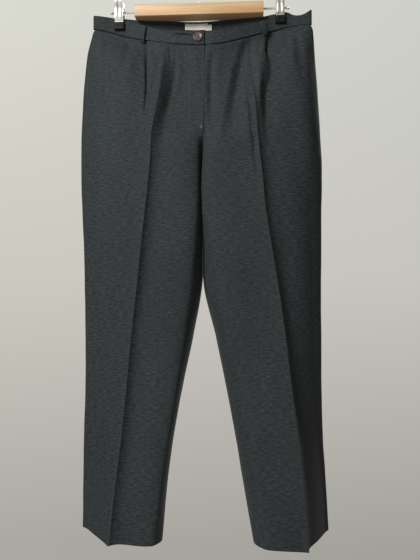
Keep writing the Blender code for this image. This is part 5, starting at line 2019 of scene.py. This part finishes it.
@dataclass(frozen=True)
class Chrome(Finish):
    """Bright plated steel with hairline wear."""

    name: str = "plated_steel"
    slot: str = "steel"
    bright: Colour = (0.62, 0.615, 0.58)
    dull: Colour = (0.42, 0.41, 0.38)

    def draw(self, nodes: Nodes) -> None:
        """Draws worn patches and hairlines.

        Args:
            nodes: The material's tree.
        """
        worn = nodes.noise((140, 140, 90), False, 3.0)
        hairs = nodes.noise((2400, 2400, 160), False, 1.0)
        colour = nodes.blend(nodes.span(worn, (0.42, 0.7)), self.bright, self.dull)
        nodes.bump(hairs, 0.06, 0.05 * MM)
        gloss = nodes.span(nodes.sum(worn, hairs, 0.4), (0.45, 0.95), (0.36, 0.52))
        nodes.set(Base_Color=colour, Metallic=0.65, Roughness=gloss)


@dataclass(frozen=True)
class Rubber(Finish):
    """Black moulded rubber with a dusty bloom."""

    name: str = "black_rubber"
    slot: str = "rubber"
    black: Colour = (0.002, 0.0022, 0.002)
    bloom: Colour = (0.006, 0.0065, 0.006)

    def draw(self, nodes: Nodes) -> None:
        """Draws the bloom and the moulded grain.

        Args:
            nodes: The material's tree.
        """
        bloom = nodes.noise((160, 160, 160), False, 4.0)
        grain = nodes.noise((2200, 2200, 2200), False, 1.0)
        nodes.bump(grain, 0.25, 0.08 * MM)
        nodes.set(Base_Color=nodes.blend(nodes.span(bloom, (0.45, 0.75)), self.black, self.bloom))
        nodes.set(Roughness=nodes.span(bloom, (0.3, 0.7), (0.5, 0.7)), Specular_IOR_Level=0.22)


@dataclass(frozen=True)
class Nylon(Finish):
    """Dark nylon of the zip's coil and tape."""

    name: str = "zip_nylon"
    slot: str = "zip"
    dark: Colour = (0.020, 0.022, 0.025)
    light: Colour = (0.045, 0.048, 0.052)

    def draw(self, nodes: Nodes) -> None:
        """Draws the tape's fine ribs.

        Args:
            nodes: The material's tree.
        """
        ribs = nodes.noise((600, 600, 2400), False, 1.0)
        nodes.bump(ribs, 0.3, 0.1 * MM)
        nodes.set(Base_Color=nodes.blend(nodes.span(ribs, (0.35, 0.65)), self.dark, self.light), Roughness=0.42)


@dataclass
class Studio:
    """The camera, the pale room round the object, and its soft light."""

    eye: tuple[float, float, float] = (0.0914, -1.1347, -0.6285)
    turn: float = 3.5
    lens: float = 36.0
    wall_y: float = 2.15
    floor_z: float = -2.45
    wall: float = 3.7
    room: float = 9.0

    def camera(self) -> None:
        """Places the camera."""
        made = linked("camera", bpy.data.cameras.new("camera"))
        made.data.lens, made.data.sensor_width = self.lens, 36.0
        made.location, made.rotation_euler = self.eye, (math.radians(90), 0, math.radians(self.turn))
        bpy.context.scene.camera = made

    def lights(self) -> None:
        """Hangs a large key at the upper left, a weak low fill and a lamp behind, in a pale surround."""
        for name, place, aim, size, power, colour in (
            ("key", (-1.35, -1.95, 1.0), (0.0, 0.0, -0.4), 0.9, 79.0, (1.0, 0.985, 0.955)),
            ("fill", (-0.35, -1.6, -0.95), (0.0, 0.0, -0.2), 0.8, 6.0, (1.0, 0.975, 0.94)),
            ("rear", (1.25, 1.9, 1.4), (0.0, 0.0, -0.6), 1.0, 105.0, (1.0, 0.99, 0.97)),
        ):
            made = linked(name, bpy.data.lights.new(name, "AREA"))
            made.data.size, made.data.energy, made.data.color = size, power, colour
            made.location = place
            made.rotation_euler = (Vector(aim) - Vector(place)).to_track_quat("-Z", "Y").to_euler()
        world = bpy.data.worlds.new("surround")
        world.use_nodes = True
        background = world.node_tree.nodes["Background"].inputs
        background["Color"].default_value, background["Strength"].default_value = (0.62, 0.615, 0.58, 1.0), 0.16
        bpy.context.scene.world = world
        bpy.context.scene.view_settings.view_transform = "Standard"

    def backdrop(self) -> None:
        """Stands the pale wall, glowing with painted light that is brighter at its upper left and darker low
        and to the right, on a pale floor.
        """
        upright, wall_place = (math.pi / 2, 0, 0), (-0.1, self.wall_y, self.floor_z + self.wall / 2)
        add_plane = bpy.ops.mesh.primitive_plane_add
        wall = started("backdrop", add_plane, size=self.wall, location=wall_place, rotation=upright)
        floor = started("floor", add_plane, size=self.room, location=(0, 0, self.floor_z))
        nodes = Nodes("backdrop_painted_light")
        # Painted light: the wall glows. Its colour steps from a dim bottom to a bright top, and from a brighter
        # left to a dimmer right.
        parts = nodes.add("SeparateXYZ", {"Vector": nodes.place((1, 1, 1), False)}).outputs
        height, across = nodes.span(parts["Z"], (-2.2, 0.95)), nodes.span(parts["X"], (-1.3, 1.25))
        low = nodes.blend(across, (0.405, 0.395, 0.362), (0.355, 0.347, 0.315))
        middle = nodes.blend(across, (0.60, 0.582, 0.525), (0.56, 0.552, 0.512))
        high = nodes.blend(across, (0.70, 0.70, 0.625), (0.615, 0.625, 0.575))
        colour = nodes.blend(nodes.span(height, (0.0, 0.5)), low, middle)
        colour = nodes.blend(nodes.span(height, (0.5, 1.0)), colour, high)
        nodes.set(Base_Color=(0.0, 0.0, 0.0, 1.0), Roughness=1.0, Specular_IOR_Level=0.0)
        nodes.set(Emission_Color=colour, Emission_Strength=1.0)
        boards = Nodes("floor_paint")
        slow = boards.noise((1.5, 1.5, 1.5), False, 2.0)
        boards.set(Base_Color=boards.blend(slow, (0.62, 0.57, 0.49), (0.56, 0.52, 0.45)), Roughness=0.8)
        for plane, paint in ((wall, nodes), (floor, boards)):
            plane.data.materials.append(paint.material)


def build_cloth() -> None:
    """Builds the trousers."""
    cloth, thread, nylon, satin = SlubCloth(), Thread(), Nylon(), WovenLabel()
    tab_satin = WovenLabel("tab_satin", colour=(0.66, 0.66, 0.60), shade=(0.52, 0.52, 0.47))
    bands = {side: Waistband(side) for side in Side}
    panels = {face: {side: kind(side) for side in Side} for face, kind in zip(Face, (FrontPanel, BackPanel))}
    for side in Side:
        front, back = (panels[face][side] for face in Face)
        band = cloth.dress(bands[side].build(), f"waistband_{side.word}").name
        pads = [f"clip_{side.word}_{face.word}_pad_rubber" for face in Face]
        cloth.dress(front.build(), front.name)
        cloth.dress(back.build(), back.name)
        pocket = SidePocket(front)
        facing = cloth.dress(pocket.facing(), f"pocket_facing_{side.word}")
        f"{front.name}_cloth"
        thread.dress(pocket.tacks())
        cloth.dress(Welt(back).build())
        f"{back.name}_cloth"
    for name, side, face, x, lean in (
        ("belt_loop_front_right", Side.RIGHT, Face.FRONT, -109, -4),
        ("belt_loop_front_left", Side.LEFT, Face.FRONT, 124, 9),
        ("belt_loop_back_right", Side.RIGHT, Face.BACK, -128, 0),
        ("belt_loop_back_left", Side.LEFT, Face.BACK, 128, 0),
        ("belt_loop_centre", Side.LEFT, Face.BACK, 5.5, -0.5),
    ):
        loop = BeltLoop(name, bands[side], panels[face][side], x * MM, lean * MM).build()
        cloth.dress(loop, name)
        f"waistband_{side.word}_cloth"
    fly = Fly(panels[Face.FRONT][Side.RIGHT])
    cloth.dress(fly.underlap(), "fly_underlap")
    nylon.dress(fly.tape())
    nylon.dress(fly.coil(), "zip_chain")
    thread.dress(fly.stitching())
    thread.dress(SeatSeam(panels[Face.FRONT], panels[Face.BACK]).build())
    labels = Labels(bands)
    label = satin.dress(labels.build("label", (-30, 16.5), (0.47, 0.87), 0.0), "label")
    tab = tab_satin.dress(labels.build("size_tab", (11.5, 25), (0.37, 0.76), 1.0 * MM), "size_tab")
    button, sewn = Button(bands[Side.RIGHT]).build()
    Horn().dress(button, "button")
    thread.dress(sewn)


def build_hanger() -> None:
    """Builds the clip hanger."""
    steel, rubber = Chrome(), Rubber()
    HoneyWood().dress(HangerBar().build(), "hanger_bar")
    steel.dress(HangerHook().build(), "hanger_hook")
    for side in Side:
        steel.dress(HangerRod(side).build(), f"hanger_rod_{side.word}")
        clip = SpringClip(side)
        for face in Face:
            node = f"clip_{side.word}_{face.word}"
            steel.dress(clip.jaw(face), f"{node}_jaw")
            rubber.dress(clip.pad(face), f"{node}_pad")
        steel.dress(clip.spring(), f"clip_{side.word}_spring")


def main() -> None:
    """Builds the room, the hanger and the trousers."""
    logging.basicConfig(level=logging.INFO, format="%(name)s: %(message)s")
    studio = Studio()
    studio.camera()
    studio.lights()
    studio.backdrop()
    build_hanger()
    build_cloth()


if __name__ == "__main__":
    main()
